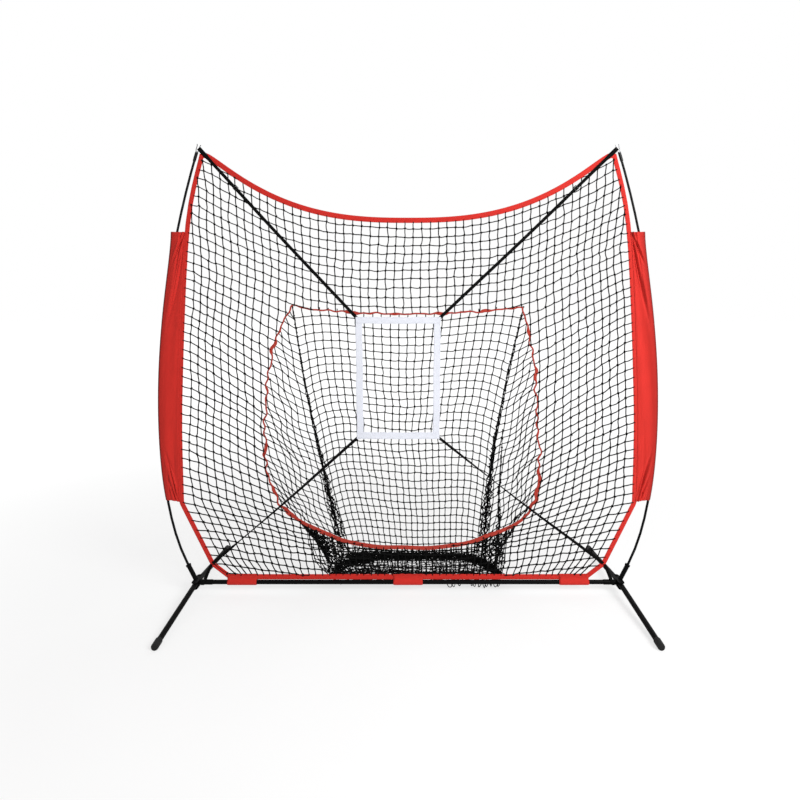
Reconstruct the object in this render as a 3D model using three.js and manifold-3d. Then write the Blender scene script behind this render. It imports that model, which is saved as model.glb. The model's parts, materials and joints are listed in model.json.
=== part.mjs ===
// A free-standing pitching target net: two bowed poles stand in a folding steel base and stretch a
// square net between them. The net has a pocket that catches the ball and a webbing strike zone.
// Millimetres. +X to the right, +Y to the back, +Z up. The origin is on the ground in the middle.
import * as THREE from "three";
import Module from "manifold-3d";
import { mergeVertices } from "three/addons/utils/BufferGeometryUtils.js";

const wasm = await Module();
wasm.setup();

// ---- Driving dimensions ----
const clearance = 0.3; // between pieces that touch
const hubX = 1072; // middle of each hub
const axisZ = 51; // height of the base bar and of the leg pivots

const barRadius = 11;
const barWall = 1.2;
const stubLength = 66; // from a hub's core to the open end that takes the bar
const jointTubeLength = 160;
const tubeWall = 1.5; // of the legs, stubs and sockets

const pivotOffset = 35; // each leg's pivot in front of or behind the bar
const legRadius = 12.5;
const legReach = 465; // from the pivot to the outer end of the foot cap
const legHeel = 10; // behind the pivot
const plateThickness = 3;
const plateRadius = 15;
const plateGap = 28; // between the two hub plates, where the legs swing
const coreX = 12;
const coreY = 16;
const rivetRadius = 4;
const rivetHeadRadius = 7.5;
const rivetHeadHeight = 3;
const rivetCrown = 0.75; // of the head's radius and height, where its edge turns in

const capRadius = 16;
const capLength = 52;
const capWall = 4; // closed end of the cap
const soleCut = 2; // flat under the cap
const capRounding = 7;
const capLip = 3; // length of the chamfer round the cap's open end

const socketLength = 101; // from the hub's middle
const socketFloor = 24; // solid below the pole
const socketCollar = 2; // how far the collar stands out
const socketCollarLength = 9;
const poleRadius = 6;
const poleWall = 2;
const poleTipX = 1076;
const poleTipZ = 2232;
const poleBow = 124; // how far the pole bulges outward at mid height
const poleKick = 70; // extra bend just above the socket
const poleKickShare = 0.1; // of the pole's height, in which that bend dies away
const poleJointZ = 1190;
const poleJointLength = 150;
const poleJointWall = 1.2;

const tipLength = 42; // steel sleeve on the pole's top end
const tipWall = 1.4;
const prongRadius = 2;
const prongGap = 14; // between the two prongs' middles
const prongHeight = 46;
const prongSplay = 3; // how far each prong's end turns outward
const prongCurl = 8; // length of that turned end
const prongFoot = 12; // height over the pole's end at which the prongs stand apart
const prongSweep = 3; // length in which each prong turns upright over its foot

const bindingWidth = 24;
const bindingThickness = 4;
const bindingShort = 0.04; // share of its first stretch that the side binding leaves off
const netCornerDrop = 6; // from the pole's end down to the net's top corner
const netCornerIn = 41.7; // from the pole inward to the net's edge, at the top corner
const topSag = 348; // of the net's top edge in the middle
const topFullness = 2.6; // exponent of that sag
const sleeveTopIn = 62.2; // from the pole inward to the net's edge, at the sleeve's top end
const sleeveMidIn = 114.2;
const sleeveMidZ = 980;
const sleeveBottomIn = 80.9;
const kinkX = 984; // net edge at the lower corner, which the corner tie pulls
const kinkZ = 152;
const netBottomX = 904;
const netBottomZ = 91;
const sleeveTopZ = 1832;
const sleeveBottomZ = 458;
const sleeveWall = 1.6;
const sleeveSeam = 6; // where its two layers are sewn together beside the net
const sleeveSeamGap = 0.7; // half the space between the layers at that seam
const sleeveRound = 110; // degrees each way from the outermost line in which it hugs the pole
const sleeveShoulder = 0.55; // of the way from the seam to the pole, where it begins to swell
const sleeveSwell = 1.3; // how many times thicker it is there than at the seam
const sleeveRing = 20; // least length between a ring of its loft and its end

const tabWidth = 150; // hook-and-loop tabs that hold the net down on the bar
const tabX = 843;
const tabWall = 1.6;
const tabNeck = 8; // above the bar, where a tab's two layers come together

const webWidth = 15; // straps and corner ties
const webThickness = 2;
const tieX = 1038; // on the hub's stub, where a corner tie is wrapped round it
const tieNeck = 30; // above the bar's middle, where the tie's layers come together
const tieOnBinding = 5.5; // width of the binding that the tie's end covers
const strapOnProng = 13; // from the prongs' foot to where the strap's middle meets the prong
const eyeOnProng = 6; // from the prongs' foot to the eye's lower end
const strapOnBinding = 3; // from the binding's middle line to the lower strap's end
const foldedEnd = 34; // length of a strap's end that is folded back and sewn
const zoneX = -50; // middle of the strike zone
const zoneTopZ = 1399;
const zoneBottomZ = 780;
const zoneWidth = 433;
const zoneWeb = 34;
const zoneThickness = 2.3;

const sliderLength = 20;
const sliderWidth = 24;
const sliderBar = 4;
const sliderPlay = 1; // beside the webbing, on each side
const sliderThickness = 1.7;
const sliderShare = 0.23; // of the upper strap, from its top end

const twine = 4.5; // width of a net strand
const netThickness = 3;
const columns = 15;
const rows = 14;
const mouthTopX = 587; // half the mouth's width at its top corners
const mouthTopZ = 1450;
const mouthTopSag = 36;
const mouthWideX = 692;
const mouthWideZ = 780;
const mouthBottomZ = 224;
const mouthShoulder = 2.8; // exponent of the mouth's lower corners
const mouthFlare = 2.6; // exponent of the mouth's upper sides
const trimWidth = 12;
const trimThickness = 4;
const pocketDepth = 400;
const pocketBackX = 414; // half the width of the back panel's lower edge
const pocketBackZ = 24;
const pocketColumns = 7;
const pocketRows = 8;
const pocketSideX = 460; // where the mouth's side turns into its bottom
const seamStart = 0.1; // the side nets begin this share down the rear seam
const floorDrape = 4; // how much sooner the floor's middle falls than its sides
const pocketNet = 2.6;

// ---- Materials ----
const material = (color, roughness, metalness) =>
  new THREE.MeshStandardMaterial({ color, roughness, metalness });
const finishes = {
  paintedSteel: () => material(0x17181a, 0.45, 0.4),
  steel: () => material(0xb6b9bd, 0.3, 1),
  fibreglass: () => material(0x111214, 0.35, 0),
  rubber: () => material(0x101011, 0.8, 0),
  redFabric: () => material(0xc4261f, 0.75, 0),
  darkRedFabric: () => material(0x96261e, 0.8, 0),
  blackWebbing: () => material(0x131313, 0.85, 0),
  whiteWebbing: () => material(0xe4e7f2, 0.7, 0),
  netting: () => material(0x0d0d0d, 0.8, 0),
  plastic: () => material(0x151515, 0.5, 0),
};

const root = new THREE.Group();

function addPiece(name, solid, finish) {
  const mesh = new THREE.Mesh(geometryOf(solid), finishes[finish]());
  mesh.name = name;
  root.add(mesh);
  return mesh;
}

// ---- Solids ----
function solidOf(geometry) {
  const flat = geometry.index ? geometry.toNonIndexed() : geometry.clone();
  flat.deleteAttribute("normal");
  flat.deleteAttribute("uv");
  const merged = mergeVertices(flat, 1e-4);
  return new wasm.Manifold(
    new wasm.Mesh({
      numProp: 3,
      vertProperties: new Float32Array(merged.attributes.position.array),
      triVerts: new Uint32Array(merged.index.array),
    }),
  );
}

function geometryOf(solid) {
  const mesh = solid.getMesh();
  const geometry = new THREE.BufferGeometry();
  geometry.setAttribute("position", new THREE.BufferAttribute(mesh.vertProperties, 3));
  geometry.setIndex(new THREE.BufferAttribute(mesh.triVerts, 1));
  geometry.computeVertexNormals();
  return geometry;
}

const joined = (solids) => solids.reduce((whole, next) => whole.add(next));
const placed = (solid, matrix) => solidOf(geometryOf(solid).applyMatrix4(matrix));

function circle(radius, sides) {
  return Array.from({ length: sides }, (_, i) => {
    const angle = (2 * Math.PI * (i + 0.5)) / sides;
    return new THREE.Vector2(radius * Math.cos(angle), radius * Math.sin(angle));
  });
}

// A tube, or a rod where inner is 0, along a curve.
function pipe(curve, outer, inner = 0, steps = 1, sides = 14) {
  const section = new THREE.Shape(circle(outer, sides));
  if (inner > 0) section.holes.push(new THREE.Path(circle(inner, sides)));
  return solidOf(
    new THREE.ExtrudeGeometry(section, { steps, bevelEnabled: false, extrudePath: curve }),
  );
}

const point = (x, y, z) => new THREE.Vector3(x, y, z);
const straight = (from, to) => new THREE.LineCurve3(from, to);

// A plate whose outline lies in the XZ plane, between two depths along Y.
function plate(outline, front, back, segments = 8) {
  const shape = outline instanceof THREE.Shape ? outline : new THREE.Shape(outline);
  const geometry = new THREE.ExtrudeGeometry(shape, {
    depth: back - front,
    bevelEnabled: false,
    curveSegments: segments,
  });
  return solidOf(geometry.rotateX(Math.PI / 2).translate(0, back, 0));
}

// A plate with one opening right through it.
const openPlate = (outline, opening, front, back) =>
  plate(outline, front, back).subtract(plate(opening, front - 1, back + 1));

function box(low, high) {
  const size = high.clone().sub(low);
  const middle = high.clone().add(low).multiplyScalar(0.5);
  return solidOf(
    new THREE.BoxGeometry(size.x, size.y, size.z).translate(middle.x, middle.y, middle.z),
  );
}

// The two edges of a band that follows a line of points in the XZ plane.
function bandEdges(line, low, high) {
  return [low, high].map((offset) =>
    line.map((p, i) => {
      const before = line[Math.max(i - 1, 0)];
      const after = line[Math.min(i + 1, line.length - 1)];
      const along = after.clone().sub(before).normalize();
      return p.clone().add(new THREE.Vector2(-along.y, along.x).multiplyScalar(offset));
    }),
  );
}

function band(line, low, high, front, back) {
  const [one, other] = bandEdges(line, low, high);
  return plate([...one, ...other.reverse()], front, back);
}

// count + 1 values of at, at even steps from one number to another.
const sampled = (from, to, count, at) =>
  Array.from({ length: count + 1 }, (_, i) => at(from + ((to - from) * i) / count));

// ---- Lines that the pieces follow ----
const sharpest = 0.1; // the mitre of a corner under about 12 degrees is cut short

// The pole's outward distance at a height: a bow, plus a sharper bend just above the socket.
const poleSlopeAt = (share, foot, height) =>
  ((poleKick / poleKickShare) * Math.exp(-share / poleKickShare) +
    (poleTipX - foot - poleKick) +
    4 * poleBow * (1 - 2 * share)) /
  height;

// The socket leans as the pole does where it leaves it. A few rounds settle it.
let socketLean = 0.45;
for (let round = 0; round < 12; round += 1) {
  const foot = hubX + socketLength * Math.sin(socketLean);
  const height = poleTipZ - axisZ - socketLength * Math.cos(socketLean);
  socketLean = Math.atan(poleSlopeAt(0, foot, height));
}
const socketWay = point(Math.sin(socketLean), 0, Math.cos(socketLean));
const hub = point(hubX, 0, axisZ);
const socketTop = hub.clone().addScaledVector(socketWay, socketLength);
const poleHeight = poleTipZ - socketTop.z;

function poleX(z) {
  const share = (z - socketTop.z) / poleHeight;
  const kick = poleKick * (1 - Math.exp(-share / poleKickShare));
  return (
    socketTop.x +
    kick +
    (poleTipX - socketTop.x - poleKick) * share +
    4 * poleBow * share * (1 - share)
  );
}
const poleTipWay = point(poleSlopeAt(1, socketTop.x, poleHeight), 0, 1).normalize();
const poleTip = point(poleTipX, 0, poleTipZ);

class PoleCurve extends THREE.Curve {
  constructor(low, high) {
    super();
    this.low = low;
    this.high = high;
  }
  getPoint(t) {
    const z = this.low + (this.high - this.low) * t;
    return point(poleX(z), 0, z);
  }
}

// The net's right edge from its top corner down to the bottom binding.
const netCornerZ = poleTipZ - netCornerDrop;
const netCornerX = poleX(netCornerZ) - netCornerIn;
const topLowZ = netCornerZ - topSag;
const besidePole = (z, inward) => new THREE.Vector2(poleX(z) - inward, z);
const netTopZ = (x) =>
  topLowZ + (netCornerZ - topLowZ) * Math.abs(x / netCornerX) ** topFullness;
const sideSpline = new THREE.SplineCurve([
  besidePole(netCornerZ, netCornerIn),
  besidePole(sleeveTopZ, sleeveTopIn),
  besidePole(sleeveMidZ, sleeveMidIn),
  besidePole(sleeveBottomZ, sleeveBottomIn),
]);
const kink = new THREE.Vector2(kinkX, kinkZ);
const netBottomCorner = new THREE.Vector2(netBottomX, netBottomZ);
const sideEdge = [...sideSpline.getPoints(16), kink, netBottomCorner];

// Where a line that runs downward is at a height.
function xAt(line, z) {
  const below = line.findIndex((p) => p.y <= z);
  const i = Math.max(1, below < 0 ? line.length - 1 : below);
  const [upper, lower] = [line[i - 1], line[i]];
  return lower.x + ((upper.x - lower.x) * (z - lower.y)) / (upper.y - lower.y);
}
const netHalf = (z) => xAt(sideEdge, z);
const [, bindingEdge] = bandEdges(sideEdge, 0, bindingWidth);

// The mouth's edge on the right, as height z or as an angle round its lower corner.
const mouthTop = (x) =>
  mouthTopZ - mouthTopSag * (1 - Math.min(1, Math.abs(x / mouthTopX)) ** 2);
function mouthSideX(z) {
  const share = Math.max(0, (z - mouthWideZ) / (mouthTopZ - mouthWideZ));
  return mouthWideX - (mouthWideX - mouthTopX) * share ** mouthFlare;
}
const power = 2 / mouthShoulder;
const mouthCorner = (angle) =>
  new THREE.Vector2(
    mouthWideX * Math.cos(angle) ** power,
    mouthWideZ - (mouthWideZ - mouthBottomZ) * Math.sin(angle) ** power,
  );
const splitAngle = Math.acos((pocketSideX / mouthWideX) ** (1 / power));
const mouthSide = [
  ...sampled(mouthTopZ, mouthWideZ, 7, (z) => new THREE.Vector2(mouthSideX(z), z)),
  ...sampled(0, splitAngle, 8, mouthCorner).slice(1),
];
const mouthFloor = sampled(splitAngle, Math.PI / 2, 7, mouthCorner);
const flip = (p) => new THREE.Vector2(-p.x, p.y);
const mouthRight = [...mouthSide, ...mouthFloor.slice(1)];
const mouthTopLine = sampled(mouthTopX, -mouthTopX, 8, (x) => new THREE.Vector2(x, mouthTop(x)));
const mouthLoop = [
  ...mouthRight,
  ...mouthRight.map(flip).reverse().slice(1),
  ...mouthTopLine.reverse().slice(1, -1),
];

// A closed loop moved outward by a distance, with mitred corners.
function grown(loop, distance) {
  const turn = THREE.ShapeUtils.area(loop) < 0 ? -1 : 1;
  const outOf = (from, to) => {
    const way = to.clone().sub(from).normalize();
    return new THREE.Vector2(way.y, -way.x).multiplyScalar(turn);
  };
  return loop.map((p, i) => {
    const before = outOf(loop.at(i - 1), p);
    const out = outOf(p, loop[(i + 1) % loop.length])
      .add(before)
      .normalize();
    return p.clone().addScaledVector(out, distance / Math.max(out.dot(before), sharpest));
  });
}

// ---- Base ----
const stubRadius = barRadius + clearance + tubeWall;
const socketRadius = poleRadius + clearance + 3 * tubeWall;
const stubEnd = hubX - coreX - stubLength;
const halfGap = plateGap / 2;
const plateTop = halfGap + plateThickness;

function hubPlate(low) {
  const outline = new THREE.Shape();
  outline.absarc(0, pivotOffset, plateRadius, 0, Math.PI);
  outline.absarc(0, -pivotOffset, plateRadius, Math.PI, 2 * Math.PI);
  const geometry = new THREE.ExtrudeGeometry(outline, {
    depth: plateThickness,
    bevelEnabled: false,
    curveSegments: 5,
  });
  return solidOf(geometry.translate(hubX, 0, axisZ + low));
}

// The hole for a leg's rivet, through the hub's plates and the leg between them.
function rivetHole(way) {
  const end = (z) => point(hubX, way * pivotOffset, axisZ + z);
  const reach = plateTop + 1;
  return pipe(straight(end(-reach), end(reach)), rivetRadius + clearance, 0, 1, 10);
}

function makeHub() {
  const socket = (from, to, radius) =>
    pipe(
      straight(
        hub.clone().addScaledVector(socketWay, from),
        hub.clone().addScaledVector(socketWay, to),
      ),
      radius,
    );
  const stub = (from, to, radius) =>
    pipe(straight(point(from, 0, axisZ), point(to, 0, axisZ)), radius);
  const body = joined([
    hubPlate(halfGap),
    hubPlate(-plateTop),
    box(
      point(hubX - coreX, -coreY, axisZ - halfGap),
      point(hubX + coreX, coreY, axisZ + halfGap),
    ),
    stub(stubEnd, hubX, stubRadius),
    socket(0, socketLength, socketRadius),
    socket(socketLength - socketCollarLength, socketLength, socketRadius + socketCollar),
  ]);
  return body
    .subtract(stub(stubEnd - 1, hubX - coreX, barRadius + clearance))
    .subtract(socket(socketFloor, socketLength + 1, poleRadius + clearance))
    .subtract(joined([1, -1].map(rivetHole)));
}

const capAxisZ = capRadius - soleCut; // at the cap's outer end
const legDrop = Math.asin((axisZ - capAxisZ) / legReach);

// A point on the right front leg's axis, at a distance outward from its pivot.
const onLeg = (distance, way) =>
  point(
    hubX,
    way * (pivotOffset + distance * Math.cos(legDrop)),
    axisZ - distance * Math.sin(legDrop),
  );

function makeLeg(way) {
  return pipe(
    straight(onLeg(-legHeel, way), onLeg(legReach - capWall - clearance, way)),
    legRadius,
    legRadius - tubeWall,
  ).subtract(rivetHole(way));
}

const diagonal = 1 - Math.SQRT1_2; // of a quarter circle's middle, in from its square corner

function makeCap(way) {
  const bore = legRadius + clearance;
  const profile = [
    new THREE.Vector2(0, 0),
    new THREE.Vector2(capRadius - capRounding, 0),
    new THREE.Vector2(capRadius - capRounding * diagonal, capRounding * diagonal),
    new THREE.Vector2(capRadius, capRounding),
    new THREE.Vector2(capRadius, capLength - capLip),
    new THREE.Vector2(capRadius - capLip / 2, capLength),
    new THREE.Vector2(bore, capLength),
    new THREE.Vector2(bore, capWall),
    new THREE.Vector2(0, capWall),
  ];
  const turned = new THREE.LatheGeometry(profile, 14);
  const outerEnd = onLeg(legReach, way);
  const inward = outerEnd.clone().sub(onLeg(0, way)).normalize().negate();
  const turn = new THREE.Quaternion().setFromUnitVectors(point(0, 1, 0), inward);
  turned.applyQuaternion(turn).translate(outerEnd.x, outerEnd.y, outerEnd.z);
  const below = box(
    point(hubX - 2 * capRadius, outerEnd.y - 2 * capLength, -capRadius),
    point(hubX + 2 * capRadius, outerEnd.y + 2 * capLength, 0),
  );
  return solidOf(turned).subtract(below);
}

function makeRivet(way) {
  const top = plateTop + clearance;
  const half = [
    new THREE.Vector2(rivetRadius, top),
    new THREE.Vector2(rivetHeadRadius, top),
    new THREE.Vector2(rivetHeadRadius * rivetCrown, top + rivetHeadHeight * rivetCrown),
    new THREE.Vector2(0, top + rivetHeadHeight),
  ];
  const lower = half.map((p) => new THREE.Vector2(p.x, -p.y)).reverse();
  const turned = new THREE.LatheGeometry([...lower, ...half], 10);
  return solidOf(turned.rotateX(Math.PI / 2).translate(hubX, way * pivotOffset, axisZ));
}

function makeBar() {
  return pipe(
    straight(point(clearance / 2, 0, axisZ), point(hubX - coreX - clearance, 0, axisZ)),
    barRadius,
    barRadius - barWall,
  );
}

const makeJointTube = () =>
  pipe(
    straight(point(-jointTubeLength / 2, 0, axisZ), point(jointTubeLength / 2, 0, axisZ)),
    barRadius - barWall - clearance,
    barRadius - 2 * barWall - clearance,
  );

// ---- Poles ----
class LowerPoleCurve extends THREE.Curve {
  // From the socket's floor, straight to its top, then along the bow.
  constructor(top) {
    super();
    this.inside = socketLength - socketFloor - clearance;
    this.bow = new PoleCurve(socketTop.z, top);
    this.share = this.inside / (this.inside + top - socketTop.z);
  }
  getPoint(t) {
    if (t < this.share)
      return socketTop.clone().addScaledVector(socketWay, this.inside * (t / this.share - 1));
    return this.bow.getPoint((t - this.share) / (1 - this.share));
  }
}

function makeLowerPole() {
  return pipe(
    new LowerPoleCurve(poleJointZ - clearance / 2),
    poleRadius,
    poleRadius - poleWall,
    14,
    10,
  );
}

const makeUpperPole = () =>
  pipe(
    new PoleCurve(poleJointZ + clearance / 2, poleTipZ),
    poleRadius,
    poleRadius - poleWall,
    10,
    10,
  );

const ferruleInner = poleRadius + clearance * 1.5;
const ferruleOuter = ferruleInner + poleJointWall;
const makeFerrule = () =>
  pipe(
    new PoleCurve(poleJointZ - poleJointLength / 2, poleJointZ + poleJointLength / 2),
    ferruleOuter,
    ferruleInner,
    5,
    10,
  );

// The steel tip: a sleeve on the pole's end and two prongs that hold the net's corner.
const alongTip = (across, up) =>
  poleTip
    .clone()
    .addScaledVector(point(poleTipWay.z, 0, -poleTipWay.x), across)
    .addScaledVector(poleTipWay, up);

function makeTip() {
  const bore = poleRadius + 2 * clearance;
  const sleeveRadius = bore + tipWall;
  const socket = pipe(
    straight(alongTip(0, clearance - tipLength), alongTip(0, prongFoot / 2)),
    sleeveRadius,
    0,
    1,
    14,
  );
  const hollow = pipe(
    straight(alongTip(0, -2 * tipLength), alongTip(0, clearance)),
    bore,
    0,
    1,
    14,
  );
  const half = prongGap / 2;
  const wire = new THREE.CatmullRomCurve3(
    [
      alongTip(-half - prongSplay, prongHeight),
      alongTip(-half, prongHeight - prongCurl),
      alongTip(-half, (prongFoot + prongHeight) / 2),
      alongTip(-half, prongFoot + prongSweep),
      alongTip(0, prongFoot / 4 + prongRadius),
      alongTip(half, prongFoot + prongSweep),
      alongTip(half, (prongFoot + prongHeight) / 2),
      alongTip(half, prongHeight - prongCurl),
      alongTip(half + prongSplay, prongHeight),
    ],
    false,
    "centripetal",
  );
  const sunk = pipe(
    straight(alongTip(0, clearance * 2), alongTip(0, prongFoot / 2)),
    sleeveRadius,
    0,
    1,
    14,
  );
  return socket.add(pipe(wire, prongRadius, 0, 14, 6)).subtract(hollow).add(sunk);
}

// ---- Fabric ----
const halfBinding = bindingThickness / 2;

// The pole's sleeve: two layers sewn to the binding, round where the pole runs through.
function makeSleeve() {
  const stations = [
    sleeveBottomZ,
    ...bindingEdge
      .map((p) => p.y)
      .filter((z) => z > sleeveBottomZ + sleeveRing && z < sleeveTopZ - sleeveRing)
      .reverse(),
    sleeveTopZ,
  ];
  const bore = ferruleOuter + 5 * clearance;
  const ring = (z, radius, flat, inset) => {
    const centre = poleX(z);
    const inner = xAt(bindingEdge, z) + 2 * clearance + inset;
    const round = sampled(-sleeveRound, sleeveRound, 8, (degrees) => {
      const angle = (degrees * Math.PI) / 180;
      return [centre + radius * Math.cos(angle), radius * Math.sin(angle)];
    });
    const shoulder = inner + (centre - radius - inner) * sleeveShoulder;
    const swell = flat * sleeveSwell;
    return [[inner, -flat], [shoulder, -swell], ...round, [shoulder, swell], [inner, flat]];
  };
  const outer = stations.map((z) => ring(z, bore + sleeveWall, halfBinding, 0));
  const inner = stations.map((z) => ring(z, bore, sleeveSeamGap, sleeveSeam));
  return lofted(stations, outer, inner);
}

// A loft through rings of points [x, y] at heights, with a matching bore.
function lofted(heights, outer, inner) {
  const count = outer[0].length;
  const positions = [];
  const index = [];
  for (const rings of [outer, inner])
    rings.forEach((ring, level) => ring.forEach(([x, y]) => positions.push(x, y, heights[level])));
  const at = (wall, level, i) => (wall * heights.length + level) * count + (i % count);
  const quad = (a, b, c, d) => index.push(a, b, c, a, c, d);
  for (let i = 0; i < count; i += 1) {
    for (let level = 0; level < heights.length - 1; level += 1) {
      quad(at(0, level, i), at(0, level, i + 1), at(0, level + 1, i + 1), at(0, level + 1, i));
      quad(at(1, level, i), at(1, level + 1, i), at(1, level + 1, i + 1), at(1, level, i + 1));
    }
    const top = heights.length - 1;
    quad(at(0, 0, i + 1), at(0, 0, i), at(1, 0, i), at(1, 0, i + 1));
    quad(at(0, top, i), at(0, top, i + 1), at(1, top, i + 1), at(1, top, i));
  }
  return solidOf(meshOf(positions, index));
}

function meshOf(positions, index) {
  const geometry = new THREE.BufferGeometry();
  geometry.setAttribute("position", new THREE.Float32BufferAttribute(positions, 3));
  geometry.setIndex(index);
  return geometry;
}

const topLine = sampled(-netCornerX, netCornerX, 26, (x) => new THREE.Vector2(x, netTopZ(x)));
const makeTopBinding = (spare = 0) =>
  band(topLine, -spare, bindingWidth + spare, -halfBinding - spare, halfBinding + spare);

const bottomLine = [netBottomCorner.clone().multiply(new THREE.Vector2(-1, 1)), netBottomCorner];
const bottomBindingWidth = netBottomZ - axisZ - barRadius - tabWall;
const makeBottomBinding = (spare = 0) =>
  band(
    bottomLine,
    -bottomBindingWidth - spare,
    spare,
    -halfBinding - spare,
    halfBinding + spare,
  );

function makeSideBinding() {
  const line = sideEdge.slice();
  line[0] = line[0].clone().lerp(line[1], bindingShort);
  return band(line, 0, bindingWidth, -halfBinding, halfBinding)
    .subtract(makeTopBinding(clearance))
    .subtract(makeBottomBinding(clearance));
}

// A strip of webbing wrapped round a rod at centre, whose two layers then run side by side the
// given way, with a gap between them. The rod lies along axis, square to way and to Y.
function wrapped(centre, way, axis, width, radius, gap, wall, closeAt, end) {
  const outline = (r, half, reach) => {
    const start = Math.atan2(half, closeAt) + Math.acos(r / Math.hypot(half, closeAt));
    const round = sampled(start, 2 * Math.PI - start, 12, (angle) =>
      new THREE.Vector2(r * Math.sin(angle), r * Math.cos(angle)),
    );
    const neck = [
      [-half, closeAt],
      [-half, reach],
      [half, reach],
      [half, closeAt],
    ];
    return new THREE.Shape([...round, ...neck.map(([x, y]) => new THREE.Vector2(x, y))]);
  };
  const across = way.clone().cross(axis);
  const place = new THREE.Matrix4().makeBasis(across, way, axis).setPosition(centre);
  const along = (shape, length) => {
    const settings = { depth: length, bevelEnabled: false };
    const geometry = new THREE.ExtrudeGeometry(shape, settings).translate(0, 0, -length / 2);
    return solidOf(geometry.applyMatrix4(place));
  };
  const outer = along(outline(radius + wall, gap / 2 + wall, end), width);
  return outer.subtract(along(outline(radius, gap / 2, end + 1), width + 2));
}

const layerGap = bindingThickness + 2 * clearance;
const up = point(0, 0, 1);
const makeTab = (x) =>
  wrapped(
    point(x, 0, axisZ),
    up,
    point(1, 0, 0),
    tabWidth,
    barRadius + clearance,
    layerGap,
    tabWall,
    barRadius + tabNeck,
    netBottomZ - axisZ,
  );

// The corner tie is wrapped round the hub's stub and leans inward up to the net's lower corner.
const kinkIndex = sideEdge.length - 2;
const kinkOut = bindingEdge[kinkIndex].clone().sub(kink).normalize();
const tieEnd = kink.clone().addScaledVector(kinkOut, bindingWidth - tieOnBinding);
const tieLean = (tieX - tieEnd.x) / (tieEnd.y - axisZ); // sideways for each millimetre up
const leaned = new THREE.Matrix4().makeShear(0, 0, 0, 0, -tieLean, 0);

function makeTie() {
  const upright = wrapped(
    point(tieX + tieLean * axisZ, 0, axisZ),
    up,
    point(1, 0, 0),
    webWidth * Math.hypot(1, tieLean),
    stubRadius + clearance,
    layerGap,
    webThickness,
    tieNeck,
    tieEnd.y - axisZ,
  );
  return placed(upright, leaned);
}

// ---- Straps and strike zone ----
const netFront = -netThickness / 2;
const strapBack = netFront - clearance * 2 - sliderThickness - clearance;
const strapFront = strapBack - webThickness;

// A strip of a given width between two depths, from one point in the XZ plane to another.
function strip(from, to, width, front, back) {
  return band([from, to], -width / 2, width / 2, front, back);
}
const between = (from, to, share) => from.clone().lerp(to, share);

const zoneCorner = (side, vertical) =>
  new THREE.Vector2(
    zoneX + side * (zoneWidth / 2 - zoneWeb / 2),
    vertical > 0 ? zoneTopZ - zoneWeb / 2 : zoneBottomZ + zoneWeb / 2,
  );
const onProng = (up) => alongTip(-prongGap / 2, prongFoot + up);
const strapTop = new THREE.Vector2(onProng(strapOnProng).x, onProng(strapOnProng).z);
const strapLow = kink.clone().addScaledVector(kinkOut, bindingWidth / 2 - strapOnBinding);
const sideways = (p, side) => new THREE.Vector2(p.x * side, p.y);

// Upper strap: an eye round the inner prong, a folded end behind it, then one layer to the zone.
function makeUpperStrap(side) {
  const top = strapTop;
  const low = sideways(zoneCorner(side, 1), side);
  const length = top.distanceTo(low);
  const eye = pipe(
    straight(onProng(eyeOnProng), onProng(eyeOnProng + webWidth)),
    -strapFront,
    prongRadius + 2 * clearance,
    1,
    12,
  );
  const hole = pipe(
    straight(onProng(-eyeOnProng), onProng(prongHeight)),
    prongRadius + 2 * clearance,
    0,
    1,
    12,
  );
  const folded = strip(
    top,
    between(top, low, foldedEnd / length),
    webWidth,
    strapFront,
    -halfBinding - clearance,
  );
  return strip(top, low, webWidth, strapFront, strapBack).add(folded).add(eye).subtract(hole);
}

function makeLowerStrap(side) {
  const high = sideways(zoneCorner(side, -1), side);
  const length = high.distanceTo(strapLow);
  const folded = strip(
    between(strapLow, high, foldedEnd / length),
    strapLow,
    webWidth,
    strapFront,
    -halfBinding - clearance,
  );
  return strip(high, strapLow, webWidth, strapFront, strapBack).add(folded);
}

function makeZone() {
  const frame = (spare) => {
    const [left, right] = [-1, 1].map((side) => zoneX + side * (zoneWidth / 2 - spare));
    const [low, high] = [zoneBottomZ + spare, zoneTopZ - spare];
    return [
      [left, low],
      [right, low],
      [right, high],
      [left, high],
    ].map(([x, z]) => new THREE.Vector2(x, z));
  };
  return openPlate(
    frame(0),
    frame(zoneWeb),
    strapFront - clearance - zoneThickness,
    strapFront - clearance,
  );
}

// A slide buckle: two rails, two bars in front of the strap and one behind it.
function makeSlider(side) {
  const low = sideways(zoneCorner(side, 1), side);
  const middle = between(strapTop, low, sliderShare);
  const way = low.clone().sub(strapTop).normalize();
  const out = new THREE.Vector2(-way.y, way.x);
  const at = (along, across) =>
    middle.clone().addScaledVector(way, along).addScaledVector(out, across);
  const front = strapFront - clearance;
  const back = strapBack + clearance;
  const railWidth = (sliderWidth - webWidth) / 2 - sliderPlay;
  const rail = (edge) =>
    strip(
      at(-sliderLength / 2, (edge * (sliderWidth - railWidth)) / 2),
      at(sliderLength / 2, (edge * (sliderWidth - railWidth)) / 2),
      railWidth,
      front - sliderThickness,
      back + sliderThickness,
    );
  const bar = (along, nearer, farther) =>
    strip(
      at(along - sliderBar / 2, 0),
      at(along + sliderBar / 2, 0),
      sliderWidth,
      nearer,
      farther,
    );
  const endBar = (sliderLength - sliderBar) / 2;
  return joined([
    rail(1),
    rail(-1),
    bar(endBar, front - sliderThickness, front),
    bar(-endBar, front - sliderThickness, front),
    bar(0, back, back + sliderThickness),
  ]);
}

// ---- Netting ----
// Strands that follow lines of knots, cut to a field and edged with a cord.
function netting(field, lines, thickness) {
  const [front, back] = [-thickness / 2, thickness / 2];
  const edge = grown(field, -clearance);
  const strands = joined(lines.map((line) => band(line, -twine / 2, twine / 2, front, back)));
  return strands
    .intersect(plate(edge, front, back))
    .add(openPlate(edge, grown(edge, -twine), front, back));
}

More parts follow.
